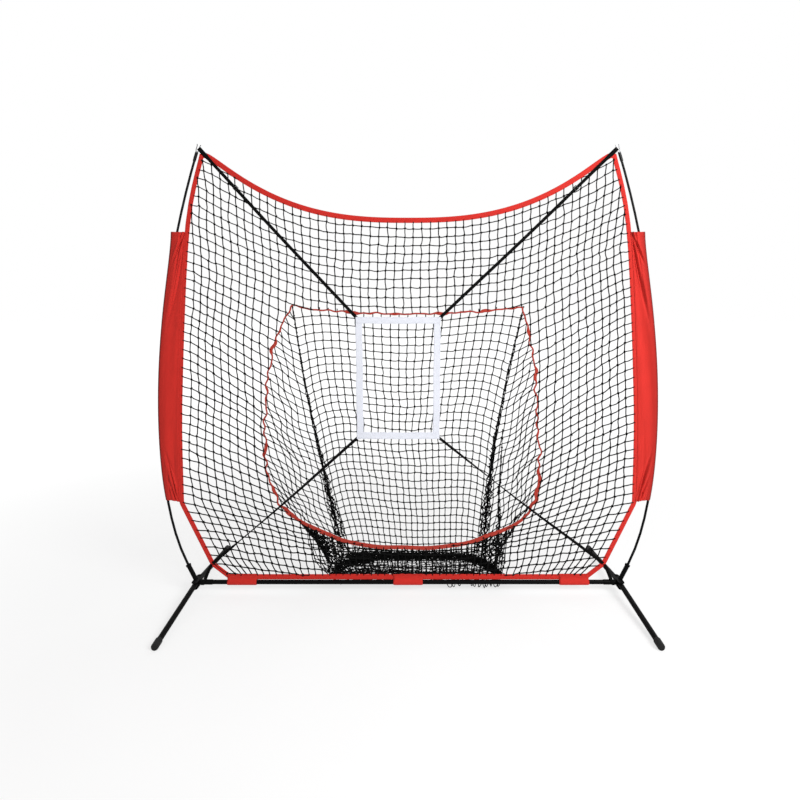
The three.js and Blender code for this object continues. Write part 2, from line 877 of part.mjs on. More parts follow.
// A knot of the main net: across from -1 to 1, up from 0 to 1.
function knot(across, high) {
  const x = across * netHalf(netBottomZ + high * (netCornerZ - netBottomZ));
  const top = netTopZ(Math.min(Math.abs(x), netCornerX));
  return new THREE.Vector2(x, netBottomZ + high * (top - netBottomZ));
}
const mainLines = [
  ...sampled(-1, 1, columns, (across) => sampled(0, 1, rows, (high) => knot(across, high))).slice(
    1,
    -1,
  ),
  ...sampled(0, 1, rows, (high) => sampled(-1, 1, columns, (across) => knot(across, high))).slice(
    1,
    -1,
  ),
];

const hole = grown(mouthLoop, trimWidth / 2);
const splitAt = mouthSide.length - 1;
const middleAt = mouthRight.length - 1;
const leftTopAt = 2 * middleAt;
const holeSide = hole.slice(0, splitAt + 1);
const holeFloor = hole.slice(splitAt, 2 * middleAt - splitAt + 1);
const holeTop = [...hole.slice(leftTopAt), hole[0]];
const sideField = [...holeSide, ...sideEdge.slice().reverse()];
const bottomField = [...holeFloor, ...bottomLine];
const topField = [...holeTop, ...topLine.slice().reverse()];

const makeTrim = () =>
  openPlate(
    grown(mouthLoop, trimWidth / 2),
    grown(mouthLoop, -trimWidth / 2),
    -trimThickness / 2,
    trimThickness / 2,
  );

// ---- Pocket ----
const pocketFront = trimThickness / 2 + clearance;
const backTop = pocketFront + pocketNet / 2;
const backRun = pocketDepth - backTop;
const backTilt = Math.atan2(backRun, mouthTopZ - pocketBackZ);
const backLength = Math.hypot(backRun, mouthTopZ - pocketBackZ);
const backPlace = new THREE.Matrix4()
  .makeRotationX(backTilt)
  .setPosition(0, pocketDepth, pocketBackZ);
const backHalf = (share) => pocketBackX + (mouthTopX - pocketBackX) * share;
const backKnot = (across, high) =>
  new THREE.Vector2(
    across * backHalf(high),
    high * (backLength - mouthTopSag * (1 - across ** 2) * high),
  );
const backOutline = [
  ...[-1, 1].map((across) => backKnot(across, 0)),
  ...sampled(1, -1, 8, (across) => backKnot(across, 1)),
];

function makePocketBack() {
  const steps = (count, at) => sampled(0, 1, count, at).slice(1, -1);
  const lines = [
    ...steps(pocketColumns, (u) => sampled(0, 1, pocketRows, (high) => backKnot(2 * u - 1, high))),
    ...steps(pocketRows, (high) => sampled(-1, 1, pocketColumns, (across) => backKnot(across, high))),
  ];
  return placed(netting(backOutline, lines, pocketNet), backPlace);
}

// A thin curved net between the points at(u, v), with one gap in each cell.
function curvedNet(at, across, down, thickness) {
  const step = 1e-3;
  const positions = [];
  const index = [];
  const add = (p) => positions.push(p.x, p.y, p.z) / 3 - 1;
  const faceOf = (u, v, way) => {
    const alongU = at(Math.min(u + step, 1), v).sub(at(Math.max(u - step, 0), v));
    const alongV = at(u, Math.min(v + step, 1)).sub(at(u, Math.max(v - step, 0)));
    const out = alongU.cross(alongV).normalize();
    return at(u, v).addScaledVector(out, (way * thickness) / 2);
  };
  const quad = (a, b, c, d) => index.push(a, b, c, a, c, d);
  const corners = [
    [0, 0],
    [1, 0],
    [1, 1],
    [0, 1],
  ];
  const knots = [1, -1].map((way) =>
    sampled(0, 1, across, (u) => sampled(0, 1, down, (v) => add(faceOf(u, v, way)))),
  );
  for (let i = 0; i < across; i += 1)
    for (let j = 0; j < down; j += 1) {
      const cell = corners.map(([a, b]) => at((i + a) / across, (j + b) / down));
      const width = (cell[0].distanceTo(cell[1]) + cell[3].distanceTo(cell[2])) / 2;
      const height = cell[0].distanceTo(cell[3]);
      const [insetU, insetV] = [twine / 2 / width, twine / 2 / height];
      const gap = [1, -1].map((way) =>
        corners.map(([a, b]) =>
          add(
            faceOf(
              (i + a + (a ? -1 : 1) * insetU) / across,
              (j + b + (b ? -1 : 1) * insetV) / down,
              way,
            ),
          ),
        ),
      );
      const rim = knots.map((side) => corners.map(([a, b]) => side[i + a][j + b]));
      corners.forEach((_, k) => {
        const n = (k + 1) % 4;
        quad(rim[0][k], rim[0][n], gap[0][n], gap[0][k]);
        quad(rim[1][n], rim[1][k], gap[1][k], gap[1][n]);
        quad(gap[0][k], gap[0][n], gap[1][n], gap[1][k]);
      });
    }
  const wall = (line) =>
    line.slice(1).forEach(([a, b], k) => quad(line[k][1], b, a, line[k][0]));
  const pair = (i, j) => [knots[0][i][j], knots[1][i][j]];
  wall(sampled(0, across, across, (i) => pair(i, 0)));
  wall(sampled(0, down, down, (j) => pair(across, j)));
  wall(sampled(across, 0, across, (i) => pair(i, down)));
  wall(sampled(down, 0, down, (j) => pair(0, j)));
  return solidOf(meshOf(positions, index));
}

const sidePath = new THREE.Path();
sidePath.setFromPoints(mouthSide);
const seamTop = point(mouthTopX, backTop, mouthTopZ);
const seamLow = point(pocketBackX, pocketDepth, pocketBackZ);

const frontCut = box(
  point(-hubX, -pocketDepth, -axisZ),
  point(hubX, pocketFront, poleTipZ),
);
const backCut = placed(
  plate(grown(backOutline, axisZ), -pocketNet / 2 - clearance, pocketDepth),
  backPlace,
);

function makePocketSide() {
  const at = (u, v) => {
    const down = seamStart + (1 - seamStart) * v;
    const edge = sidePath.getPointAt(Math.min(1, down));
    return point(edge.x, 0, edge.y).lerp(seamTop.clone().lerp(seamLow, down), u);
  };
  return curvedNet(at, 2, 7, pocketNet).subtract(frontCut).subtract(backCut);
}

function makePocketFloor() {
  const spare = pocketNet + 2 * clearance;
  const mouthAt = (side) => {
    const across = Math.abs(side) * (pocketSideX - spare);
    const i = Math.max(1, mouthFloor.findIndex((p) => p.x <= across));
    const [outer, inner] = [mouthFloor[i - 1], mouthFloor[i]];
    const share = (outer.x - across) / (outer.x - inner.x);
    return point(Math.sign(side) * across, 0, outer.y + (inner.y - outer.y) * share);
  };
  const at = (u, v) => {
    const side = 2 * u - 1;
    const front = mouthAt(side);
    const back = point(side * (pocketBackX - spare), pocketDepth, pocketBackZ);
    const fall = (1 - v) ** (1 + floorDrape * (1 - side ** 2));
    return point(
      front.x + (back.x - front.x) * v,
      front.y + (back.y - front.y) * v,
      back.z + (front.z - back.z) * fall,
    );
  };
  return curvedNet(at, 5, 4, pocketNet).subtract(frontCut).subtract(backCut);
}

// ---- Assembly ----
function addPair(name, make, finish) {
  for (const [word, side] of [
    ["left", -1],
    ["right", 1],
  ])
    addPiece(name.replace("SIDE", word), make(side), finish).scale.x = side;
}

addPair("SIDE_hub", makeHub, "paintedSteel");
addPair("SIDE_base_bar", makeBar, "paintedSteel");
addPiece("base_bar_joint_tube", makeJointTube(), "steel");
for (const [place, way] of [
  ["front", -1],
  ["rear", 1],
]) {
  addPair(`SIDE_${place}_leg`, () => makeLeg(way), "paintedSteel");
  addPair(`SIDE_${place}_foot_cap`, () => makeCap(way), "rubber");
  addPair(`SIDE_${place}_leg_rivet`, () => makeRivet(way), "steel");
}
addPair("SIDE_lower_pole", makeLowerPole, "fibreglass");
addPair("SIDE_upper_pole", makeUpperPole, "fibreglass");
addPair("SIDE_pole_ferrule", makeFerrule, "steel");
addPair("SIDE_pole_tip", makeTip, "steel");
addPair("SIDE_pole_sleeve", makeSleeve, "redFabric");
addPair("SIDE_binding", makeSideBinding, "redFabric");
addPiece("top_binding", makeTopBinding(), "redFabric");
addPiece("bottom_binding", makeBottomBinding(), "redFabric");
addPair("SIDE_bar_tab", () => makeTab(tabX), "redFabric");
addPiece("middle_bar_tab", makeTab(0), "redFabric");
addPair("SIDE_corner_tie", makeTie, "blackWebbing");
addPiece("strike_zone", makeZone(), "whiteWebbing");
addPair("SIDE_upper_strap", makeUpperStrap, "blackWebbing");
addPair("SIDE_lower_strap", makeLowerStrap, "blackWebbing");
addPair("SIDE_strap_slider", makeSlider, "plastic");
addPiece("net_top", netting(topField, mainLines, netThickness), "netting");
addPiece("net_bottom", netting(bottomField, mainLines, netThickness), "netting");
addPair("net_SIDE", () => netting(sideField, mainLines, netThickness), "netting");
addPiece("mouth_trim", makeTrim(), "darkRedFabric");
addPiece("pocket_back", makePocketBack(), "netting");
addPair("pocket_SIDE", makePocketSide, "netting");
addPiece("pocket_floor", makePocketFloor(), "netting");

export default root;
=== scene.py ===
"""Dresses the practice net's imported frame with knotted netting, fabric, webbing and finishes."""

import json
import math

import bmesh
import bpy
import numpy as np
from bpy.props import FloatProperty, FloatVectorProperty, IntProperty, PointerProperty
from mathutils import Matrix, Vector


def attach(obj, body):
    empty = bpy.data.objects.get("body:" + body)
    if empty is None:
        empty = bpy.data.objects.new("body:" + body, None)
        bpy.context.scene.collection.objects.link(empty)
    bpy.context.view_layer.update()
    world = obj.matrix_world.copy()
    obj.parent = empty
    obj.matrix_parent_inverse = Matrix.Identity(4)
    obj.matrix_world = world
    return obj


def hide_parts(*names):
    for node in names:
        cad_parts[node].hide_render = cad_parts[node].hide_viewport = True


bl_info = {
    "name": "Practice net",
    "version": (1, 0, 0),
    "blender": (4, 5, 0),
    "location": "3D View > Sidebar > Practice net",
    "description": "Builds the netting, fabric, webbing and finishes of a pitching target net",
    "category": "Object",
}

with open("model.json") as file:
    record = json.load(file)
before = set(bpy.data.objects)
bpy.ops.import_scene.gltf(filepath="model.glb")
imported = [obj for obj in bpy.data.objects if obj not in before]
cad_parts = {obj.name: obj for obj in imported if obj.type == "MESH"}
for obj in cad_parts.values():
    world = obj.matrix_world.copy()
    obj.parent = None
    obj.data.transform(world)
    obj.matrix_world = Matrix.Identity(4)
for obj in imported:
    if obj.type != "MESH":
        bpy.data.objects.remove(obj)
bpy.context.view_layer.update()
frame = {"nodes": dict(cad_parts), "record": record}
BODY = "frame_and_net"
SIDES = (("left", -1), ("right", 1))
TINY = 1e-6  # keeps a division from failing

# ---- Lines of the frame and the net, in metres, as the frame's solids have them ----
HUB = np.array([1.072, 0.0, 0.051])
SOCKET_LENGTH = 0.101
BAR_RADIUS, STUB_RADIUS = 0.011, 0.0128
POLE_TIP = (1.076, 2.232)
POLE_BOW = 0.124  # how far the pole's middle stands out from the straight line between its ends
POLE_KICK, KICK_SHARE = 0.07, 0.1  # the quick bend at its foot, and over what share of it
CORNER_DROP, CORNER_IN = 0.006, 0.0417  # from the pole's tip down and in to the net's corner
SLEEVE_TOP, SLEEVE_BOTTOM = 1.832, 0.458
SLEEVE_HEIGHTS = (SLEEVE_TOP, 0.98, SLEEVE_BOTTOM)
SLEEVE_IN = (0.0622, 0.1142, 0.0809)  # from the pole in to the net's edge, at those heights
SLEEVE_RADIUS = 0.0099  # of the cloth where it goes round the pole
SLEEVE_LAP = 0.004  # how far the sleeve lies over the side binding
SLEEVE_SPAN = SLEEVE_TOP - SLEEVE_BOTTOM
KINK, BOTTOM_CORNER = (0.984, 0.152), (0.904, 0.091)  # where the net's side turns in, low down
TOP_SAG, TOP_FULLNESS = 0.348, 2.6
BINDING_WIDTH, BINDING_HALF = 0.024, 0.002  # its width and half its thickness
HEM_LIFT = 0.0009  # how far a hem's second layer stands up, and the red thread on cloth
MOUTH_TOP, MOUTH_TOP_SAG = (0.587, 1.45), 0.036
MOUTH_WIDE, MOUTH_LOW = (0.692, 0.78), 0.224
MOUTH_SHOULDER, MOUTH_FLARE = 2.8, 2.6
SEAM_LOW = np.array([0.414, 0.4, 0.024])
SEAM_TOP = np.array([0.587, 0.0036, 1.45])
SEAM_LENGTH = float(np.linalg.norm(SEAM_LOW - SEAM_TOP))
POCKET_SIDE, POCKET_LOW = 0.46, 0.6  # where a mouth's side ends and the pocket's floor begins
POCKET_BACK, HEAP_BACK = 0.401, 0.4  # how far back the pocket and the slack reach
HEAP_LOW = 0.0045  # how near the ground the slack's strands lie
ZONE_MIDDLE, ZONE_WIDTH, ZONE_HEIGHTS, ZONE_WEB = -0.05, 0.433, (0.78, 1.399), 0.034
ZONE_LEAN = 0.007
STRAP_LAYER = -0.0051
STRAP_TOP = np.array([1.0623, STRAP_LAYER, 2.254])
FOLD_LAYER = -0.0033  # behind the straps, where their ends are folded back
WEB_WIDTH, WEB_HALF_THICKNESS = 0.015, 0.00095
WEB_THREAD_LIFT = 0.0011
TIE_X, TIE_ON_BINDING = 1.038, 0.0055
TAB_X, TAB_HALF = 0.843, 0.075
KNOT_SHAPE = (1.25, 0.95, 0.85)  # a knot's three widths, as shares of its size
PHOTO_SIZE, FILM_WIDTH = 800, 36  # in pixels and millimetres


def settled_lean():
    """How far the socket leans for its pole to run straight out of it, in radians."""
    lean = 0.45
    for _ in range(12):
        foot = HUB[0] + SOCKET_LENGTH * math.sin(lean)
        height = POLE_TIP[1] - HUB[2] - SOCKET_LENGTH * math.cos(lean)
        across = POLE_KICK / KICK_SHARE + POLE_TIP[0] - foot - POLE_KICK + 4 * POLE_BOW
        lean = math.atan(across / height)
    return lean


LEAN = settled_lean()
SOCKET_TOP = HUB + SOCKET_LENGTH * np.array([math.sin(LEAN), 0, math.cos(LEAN)])


def pole_x(z):
    """How far from the middle a pole's centre line is at a height."""
    share = (z - SOCKET_TOP[2]) / (POLE_TIP[1] - SOCKET_TOP[2])
    kick = POLE_KICK * (1 - np.exp(-share / KICK_SHARE))
    straight = (POLE_TIP[0] - SOCKET_TOP[0] - POLE_KICK) * share
    return SOCKET_TOP[0] + kick + straight + 4 * POLE_BOW * share * (1 - share)


NET_TOP = POLE_TIP[1] - CORNER_DROP
CORNER_X = float(pole_x(NET_TOP)) - CORNER_IN


def top_edge(x):
    """The height of the net's sagging top edge, from corner to corner."""
    return NET_TOP - TOP_SAG * (1 - np.minimum(np.abs(x) / CORNER_X, 1.2) ** TOP_FULLNESS)


def rounded_through(points, steps):
    """A smooth line through points, at equal steps of its parameter."""
    points = np.asarray(points, float)
    padded = np.vstack([points[:1], points, points[-1:]])
    where = np.linspace(0, len(points) - 1, steps + 1)
    first = np.minimum(where.astype(int), len(points) - 2)
    t = (where - first)[:, None]
    p0, p1, p2, p3 = (padded[first + i] for i in range(4))
    v0, v1 = (p2 - p0) / 2, (p3 - p1) / 2
    cubic = (2 * (p1 - p2) + v0 + v1) * t**3
    return cubic + (3 * (p2 - p1) - 2 * v0 - v1) * t**2 + v0 * t + p1


BESIDE_POLE = [(float(pole_x(z)) - inward, z) for z, inward in zip(SLEEVE_HEIGHTS, SLEEVE_IN)]
UPPER_EDGE = rounded_through([(CORNER_X, NET_TOP)] + BESIDE_POLE, 16)
SIDE_EDGE = np.vstack([UPPER_EDGE, [KINK], [BOTTOM_CORNER]])


def unit(ways):
    """Each way along the last axis with a length of 1."""
    return ways / np.linalg.norm(ways, axis=-1, keepdims=True)


def outward(line):
    """Unit normals of a flat line of points, to the left of its way."""
    along = unit(np.gradient(line, axis=0))
    return np.stack([-along[:, 1], along[:, 0]], axis=1)


BINDING_EDGE = SIDE_EDGE + outward(SIDE_EDGE) * BINDING_WIDTH


def net_half(z):
    """How far from the middle the net's side edge is at a height."""
    return np.interp(z, SIDE_EDGE[::-1, 1], SIDE_EDGE[::-1, 0])


def binding_x(z):
    """How far from the middle the side binding's outer edge is at a height."""
    return np.interp(z, BINDING_EDGE[::-1, 1], BINDING_EDGE[::-1, 0])


def mirrored(line):
    """A flat line on the object's other side, run the other way."""
    return (line * [-1, 1])[::-1]


def upright(x, y, z):
    """Points from their three measures. A single y may serve them all."""
    return np.stack([x, np.broadcast_to(y, np.shape(x)), z], axis=-1)


def smooth_step(value, low, high):
    """0 up to low and 1 from high on, with an even turn at both."""
    t = np.clip((value - low) / (high - low), 0, 1)
    return t * t * (3 - 2 * t)


def reach_along(line):
    """How far along a line each of its points lies."""
    return np.concatenate([[0], np.cumsum(np.linalg.norm(np.diff(line, axis=0), axis=1))])


def length_of(line):
    return float(np.linalg.norm(np.diff(line, axis=0), axis=1).sum())


def looked_up(wanted, reach, line):
    """The points of a line at the wanted reaches."""
    return np.stack([np.interp(wanted, reach, line[:, i]) for i in range(line.shape[1])], axis=-1)


def resampled(line, spacing=None, count=None):
    """The same line with equal distances between its points."""
    line = np.asarray(line, float)
    reach = reach_along(line)
    count = count or max(2, int(round(reach[-1] / spacing)) + 1)
    return looked_up(np.linspace(0, reach[-1], count), reach, line)


def softened(line, rounds):
    """The line with its corners eased."""
    line = line.copy()
    for _ in range(rounds):
        line[1:-1] = (line[:-2] + 2 * line[1:-1] + line[2:]) / 4
    return line


def waves(at, seed, sizes, strength):
    """A smooth wander along one measure, the same each run."""
    draw = np.random.default_rng(seed)
    total = np.zeros_like(np.asarray(at, float))
    for size in sizes:
        phase, share = draw.uniform(0, 2 * np.pi), draw.uniform(0.6, 1)
        total = total + share * np.sin(2 * np.pi * at / size + phase)
    return strength * total / len(sizes)


def drift(points, seed, size, strength):
    """A smooth wander over space, the same each run, for points of any number of axes."""
    draw = np.random.default_rng(seed)
    moved, count = np.zeros_like(points), 7
    for _ in range(count):
        way = draw.normal(size=points.shape[-1])
        way *= 2 * np.pi / (size * draw.uniform(0.6, 1.6)) / np.linalg.norm(way)
        push = draw.normal(size=points.shape[-1])
        moved += np.sin(points @ way + draw.uniform(0, 6.28))[..., None] * push
    return strength * moved / math.sqrt(count)


def mouth_line():
    """The mouth's edge from the middle of its top, down its right side to the middle below."""
    across = np.linspace(0, MOUTH_TOP[0], 30)
    sag = MOUTH_TOP_SAG * (1 - (across / MOUTH_TOP[0]) ** 2)
    z = np.linspace(MOUTH_TOP[1], MOUTH_WIDE[1], 40)
    share = (z - MOUTH_WIDE[1]) / (MOUTH_TOP[1] - MOUTH_WIDE[1])
    x = MOUTH_WIDE[0] - (MOUTH_WIDE[0] - MOUTH_TOP[0]) * share**MOUTH_FLARE
    angle, power = np.linspace(0, np.pi / 2, 60), 2 / MOUTH_SHOULDER
    low_x = MOUTH_WIDE[0] * np.cos(angle) ** power
    low_z = MOUTH_WIDE[1] - (MOUTH_WIDE[1] - MOUTH_LOW) * np.sin(angle) ** power
    parts = ((across, MOUTH_TOP[1] - sag), (x[1:], z[1:]), (low_x[1:], low_z[1:]))
    return np.vstack([np.stack(part, axis=1) for part in parts])


# Heights on each side of the mouth, and how far its edge is pulled out there.
LEFT_PULL = (
    (0.22, 0.27, 0.32, 0.41, 0.5, 0.7, 1.2, 1.38, 1.45),
    (0, -0.022, -0.016, 0.008, 0.024, 0.036, 0.034, 0.02, 0.004),
)
RIGHT_PULL = (
    (0.22, 0.27, 0.32, 0.41, 0.47, 0.62, 0.75, 0.92, 1.1, 1.38, 1.45),
    (0, -0.012, -0.004, 0.016, 0.004, -0.016, -0.027, -0.036, -0.028, -0.016, -0.002),
)


def wavy_mouth():
    """The mouth's edge as a closed loop, pulled in and out where the netting hangs on it."""
    half = mouth_line()
    loop = resampled(np.vstack([half, mirrored(half)[1:]]), spacing=0.006)
    loop[:, 1] += TINY
    reach, height = np.linspace(0, length_of(loop), len(loop)), loop[:, 1]
    side = smooth_step(height, 0.3, 0.5) * (0.6 + 0.4 * (1 - smooth_step(height, 1.35, 1.44)))
    ends = np.sin(np.pi * reach / reach[-1]) ** 0.25
    pull = waves(reach, 4, (0.21, 0.13, 0.085, 0.06), 0.021) * side * ends
    sides = np.interp(height, *LEFT_PULL), np.interp(height, *RIGHT_PULL)
    corners = np.where(height > 1.2, smooth_step(np.abs(loop[:, 0]), 0.5, 0.59), 1)
    pull += np.where(loop[:, 0] < 0, *sides) * corners
    low_wave = waves(reach, 9, (0.5, 0.23), 0.003) * (1 - side) * ends
    loop = loop + outward(loop) * (pull + low_wave)[:, None]
    loop[-1] = loop[0]
    return loop


MOUTH = wavy_mouth()


def inside(points, outline):
    """Which of the flat points lie within a closed outline."""
    x, z = points[:, 0][:, None], points[:, 1][:, None]
    a, b = outline, np.roll(outline, -1, axis=0)
    crosses = (a[:, 1] > z) != (b[:, 1] > z)
    rise = np.where(np.abs(b[:, 1] - a[:, 1]) < 1e-12, 1e-12, b[:, 1] - a[:, 1])
    at = a[:, 0] + (z - a[:, 1]) * (b[:, 0] - a[:, 0]) / rise
    return (crosses & (x < at)).sum(axis=1) % 2 == 1


# ---- Meshes ----
def piece(name, mesh, materials, replaces):
    """A finished piece of the net, in place, riding on its body."""
    obj = bpy.data.objects.new(name, mesh)
    bpy.context.scene.collection.objects.link(obj)
    mesh.materials.clear()
    for material in materials:
        mesh.materials.append(FINISHES[material])
    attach(obj, BODY)
    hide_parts(*replaces)
    return obj


def sewn_piece(name, parts, thread, materials, replaces):
    """A piece of cloth or webbing in one mesh with the thread that it is sewn with."""
    whole = together(name, [(mesh, 0) for mesh in parts] + [(thread, 1)])
    return piece(name, whole, materials, (replaces,))


def tubes(lines, thickness, sides=6):
    """Round strands along lines of points, as one mesh."""
    curve = bpy.data.curves.new("strands", "CURVE")
    curve.dimensions = "3D"
    curve.bevel_depth = thickness / 2
    curve.bevel_resolution = (sides - 4) // 2
    curve.use_fill_caps = True
    for line in lines:
        spline = curve.splines.new("POLY")
        spline.points.add(len(line) - 1)
        flat = np.ones((len(line), 4))
        flat[:, :3] = line
        spline.points.foreach_set("co", flat.ravel())
    holder = bpy.data.objects.new("strands", curve)
    mesh = bpy.data.meshes.new_from_object(holder)
    bpy.data.objects.remove(holder)
    bpy.data.curves.remove(curve)
    mesh.shade_smooth()
    return mesh


def knot_beads(centres, radius, seed):
    """Tied knots: small lumps, each turned its own way, as one mesh."""
    draw = np.random.default_rng(seed)
    bm = bmesh.new()
    bmesh.ops.create_icosphere(bm, subdivisions=1, radius=radius)
    bm.verts.index_update()
    lump = np.array([vert.co for vert in bm.verts])
    faces = np.array([[vert.index for vert in face.verts] for face in bm.faces])
    bm.free()
    turns = []
    for _ in centres:
        basis, _ = np.linalg.qr(draw.normal(size=(3, 3)))
        turns.append(basis @ np.diag(KNOT_SHAPE))
    placed = np.einsum("nij,vj->nvi", np.array(turns), lump) + centres[:, None]
    every = faces[None] + len(lump) * np.arange(len(centres))[:, None, None]
    mesh = bpy.data.meshes.new("knots")
    mesh.from_pydata(placed.reshape(-1, 3).tolist(), [], every.reshape(-1, 3).tolist())
    mesh.shade_smooth()
    return mesh


def together(name, parts):
    """One mesh from several, each with the material index given beside it."""
    bm = bmesh.new()
    for mesh, index in parts:
        done = len(bm.faces)
        bm.from_mesh(mesh)
        bm.faces.ensure_lookup_table()
        for face in bm.faces[done:]:
            face.material_index = index
        bpy.data.meshes.remove(mesh)
    return meshed(name, bm)


def meshed(name, bm):
    """The mesh of a bmesh, which is freed."""
    mesh = bpy.data.meshes.new(name)
    bm.to_mesh(mesh)
    bm.free()
    return mesh


def skin(name, across, along, place, size, closed=False):
    """A grid laid on a surface: place(u, v) gives points for u and v from 0 to 1.

    size is the cloth's real width and length, which its weave map is measured in. A closed
    skin is joined along its side edges and filled at both ends.
    """
    bm = bmesh.new()
    weave = bm.loops.layers.uv.new("weave")
    bmesh.ops.create_grid(bm, x_segments=across, y_segments=along, size=0.5)
    flat = np.array([v.co for v in bm.verts])[:, :2] + 0.5
    for face in bm.faces:
        for corner in face.loops:
            u, v = corner.vert.co.x + 0.5, corner.vert.co.y + 0.5
            corner[weave].uv = (u * size[0], v * size[1])
    for vert, co in zip(bm.verts, place(flat[:, 0], flat[:, 1])):
        vert.co = co
    if closed:
        bmesh.ops.remove_doubles(bm, verts=bm.verts, dist=2e-6)
        rim = [edge for edge in bm.edges if edge.is_boundary]
        bmesh.ops.holes_fill(bm, edges=rim, sides=0)
    bmesh.ops.recalc_face_normals(bm, faces=bm.faces)
    mesh = meshed(name, bm)
    mesh.shade_smooth()
    return mesh


def thickened(mesh, thickness):
    """The mesh of a cloth skin with its thickness. The skin itself is removed."""
    holder = bpy.data.objects.new("cloth", mesh)
    bpy.context.scene.collection.objects.link(holder)
    wall = holder.modifiers.new("wall", "SOLIDIFY")
    wall.thickness = thickness
    wall.offset = 0
    graph = bpy.context.evaluated_depsgraph_get()
    solid = bpy.data.meshes.new_from_object(holder.evaluated_get(graph), depsgraph=graph)
    bpy.data.objects.remove(holder)
    bpy.data.meshes.remove(mesh)
    solid.shade_smooth()
    return solid


def tape(name, path, normals, half_widths, half_thickness, across=16, ripple=None, square=0.35):
    """A closed strip of woven tape along a path, with its width along normals.

    half_widths may change along the path. ripple(width, v) adds to the thickness on each face.
    """
    reach = np.linspace(0, 1, len(path))
    through = np.cross(unit(np.gradient(path, axis=0)), normals)
    widths = np.broadcast_to(half_widths, len(path))

    def place(u, v):
        turn = 2 * np.pi * u
        width = np.sign(np.cos(turn)) * np.abs(np.cos(turn)) ** 0.7
        deep = np.sign(np.sin(turn)) * np.abs(np.sin(turn)) ** square
        thick = half_thickness + (ripple(width, v) if ripple else 0)
        middle, beside, raised = (looked_up(v, reach, line) for line in (path, normals, through))
        wide = (np.interp(v, reach, widths) * width)[:, None]
        return middle + beside * wide + raised * (thick * deep)[:, None]

    size = (4 * float(np.mean(widths)), length_of(path))
    return skin(name, across, len(path) - 1, place, size, closed=True)


def strap_mesh(name, path, widths, half_width, half_thickness=WEB_HALF_THICKNESS):
    """Flat webbing along a path, with its width along widths at each point."""
    return tape(name, path, widths, half_width, half_thickness, square=0.4)


def stitches(lines, pitch, thickness=0.0009):
    """A row of thread stitches along each line of points."""
    dashes, gap = [], 0.0014
    for line in lines:
        points = resampled(line, spacing=pitch / 2)
        for a, b in zip(points[0:-2:2], points[2::2]):
            way = (b - a) * (gap / pitch / 2)
            dashes.append([a + way, (a + b) / 2, b - way])
    return tubes(dashes, thickness, sides=4)


# ---- Netting ----
def bars_between(runs, slack, seed):
    """Each run of knots as a strand that bends a little at its knots and sags between them."""
    draw = np.random.default_rng(seed)
    lines = []
    for knots in runs:
        knots = np.asarray(knots)
        steps = np.linalg.norm(np.diff(knots, axis=0), axis=1)
        line = [knots[0]]
        for a, b, length in zip(knots[:-1], knots[1:], steps):
            bend = draw.normal(size=3) * [1, 0.25, 1] * slack * min(1, length / 0.04)
            bend[2] -= slack * abs(b[0] - a[0]) / max(length, TINY)
            twist = draw.normal(size=3) * [1, 0.25, 1] * slack * 0.35
            line += [a + (b - a) / 3 + bend + twist, a + (b - a) * 2 / 3 + bend - twist, b]
        lines.append(np.array(line))
    return lines


def clipped(grid, kept, keep_point):
    """Runs of kept knots, each carried on to the edge of the field that keep_point knows."""
    found = []
    for line, flags in [*zip(grid, kept), *zip(grid.swapaxes(0, 1), kept.T)]:
        run = []
        for i, flag in enumerate(flags):
            if flag:
                if not run and i > 0:
                    run.append(edge_point(line[i], line[i - 1], keep_point))
                run.append(line[i])
            elif run:
                run.append(edge_point(line[i - 1], line[i], keep_point))
                found.append(run)
                run = []
        if len(run) > 1:
            found.append(run)
    return found


def edge_point(kept, dropped, keep_point):
    """The last point of the field on the way from a kept knot to a dropped one."""
    low, high = 0.0, 1.0
    for _ in range(9):
        middle = (low + high) / 2
        if keep_point(kept + (dropped - kept) * middle):
            low = middle
        else:
            high = middle
    return kept + (dropped - kept) * low


def netting_piece(name, runs, knots, seed, replaces, bulk=1.0, sides=6):
    """Strands along runs of knots, with a bead at each knot, as a finished piece."""
    sizes = bpy.context.scene.practice_netting
    strands = tubes(bars_between(runs, sizes.slack, seed), sizes.twine * bulk, sides)
    beads = knot_beads(knots, sizes.knot * bulk / 2, seed + 1)
    mesh = together(name, [(strands, 0), (beads, 0)])
    return piece(name, mesh, ["netting"], replaces)


# Slopes of the netting's rows, by how high they meet the side: at its edge and further in.
EDGE_SLOPES = ((0, 0.1, 0.25, 0.5, 0.8, 1), (0.08, 0.14, 0.31, 0.52, 0.47, 0.6))
INNER_SLOPES = ((0, 0.1, 0.25, 0.5, 0.75, 0.85, 1), (0.1, 0.18, 0.44, 0.68, 0.42, 0.38, 0.4))
MIDDLE_SLOPES = ((0, 0.5, 0.7, 0.85, 1), (0.05, 0.3, 0.1, 0.12, 0.16))
SLOPE_PLACES = (0, 0.35, 0.6, 1)
CORNER_PULL = 1.74  # the height above which the columns run up to the corners


def row_height(side_height, x):
    """The height of a row at a distance from the middle, from where it meets the side."""
    high = (side_height - BOTTOM_CORNER[1]) / (NET_TOP - BOTTOM_CORNER[1])
    slopes = [0] + [np.interp(high, *line) for line in (MIDDLE_SLOPES, INNER_SLOPES, EDGE_SLOPES)]
    half = float(net_half(side_height))
    places = np.linspace(0, 1, 81)
    slope = np.interp(places, SLOPE_PLACES, slopes)
    rise = np.concatenate([[0], np.cumsum((slope[1:] + slope[:-1]) / 2 * np.diff(places))]) * half
    return side_height - rise[-1] + np.interp(np.abs(x) / half, places, rise)


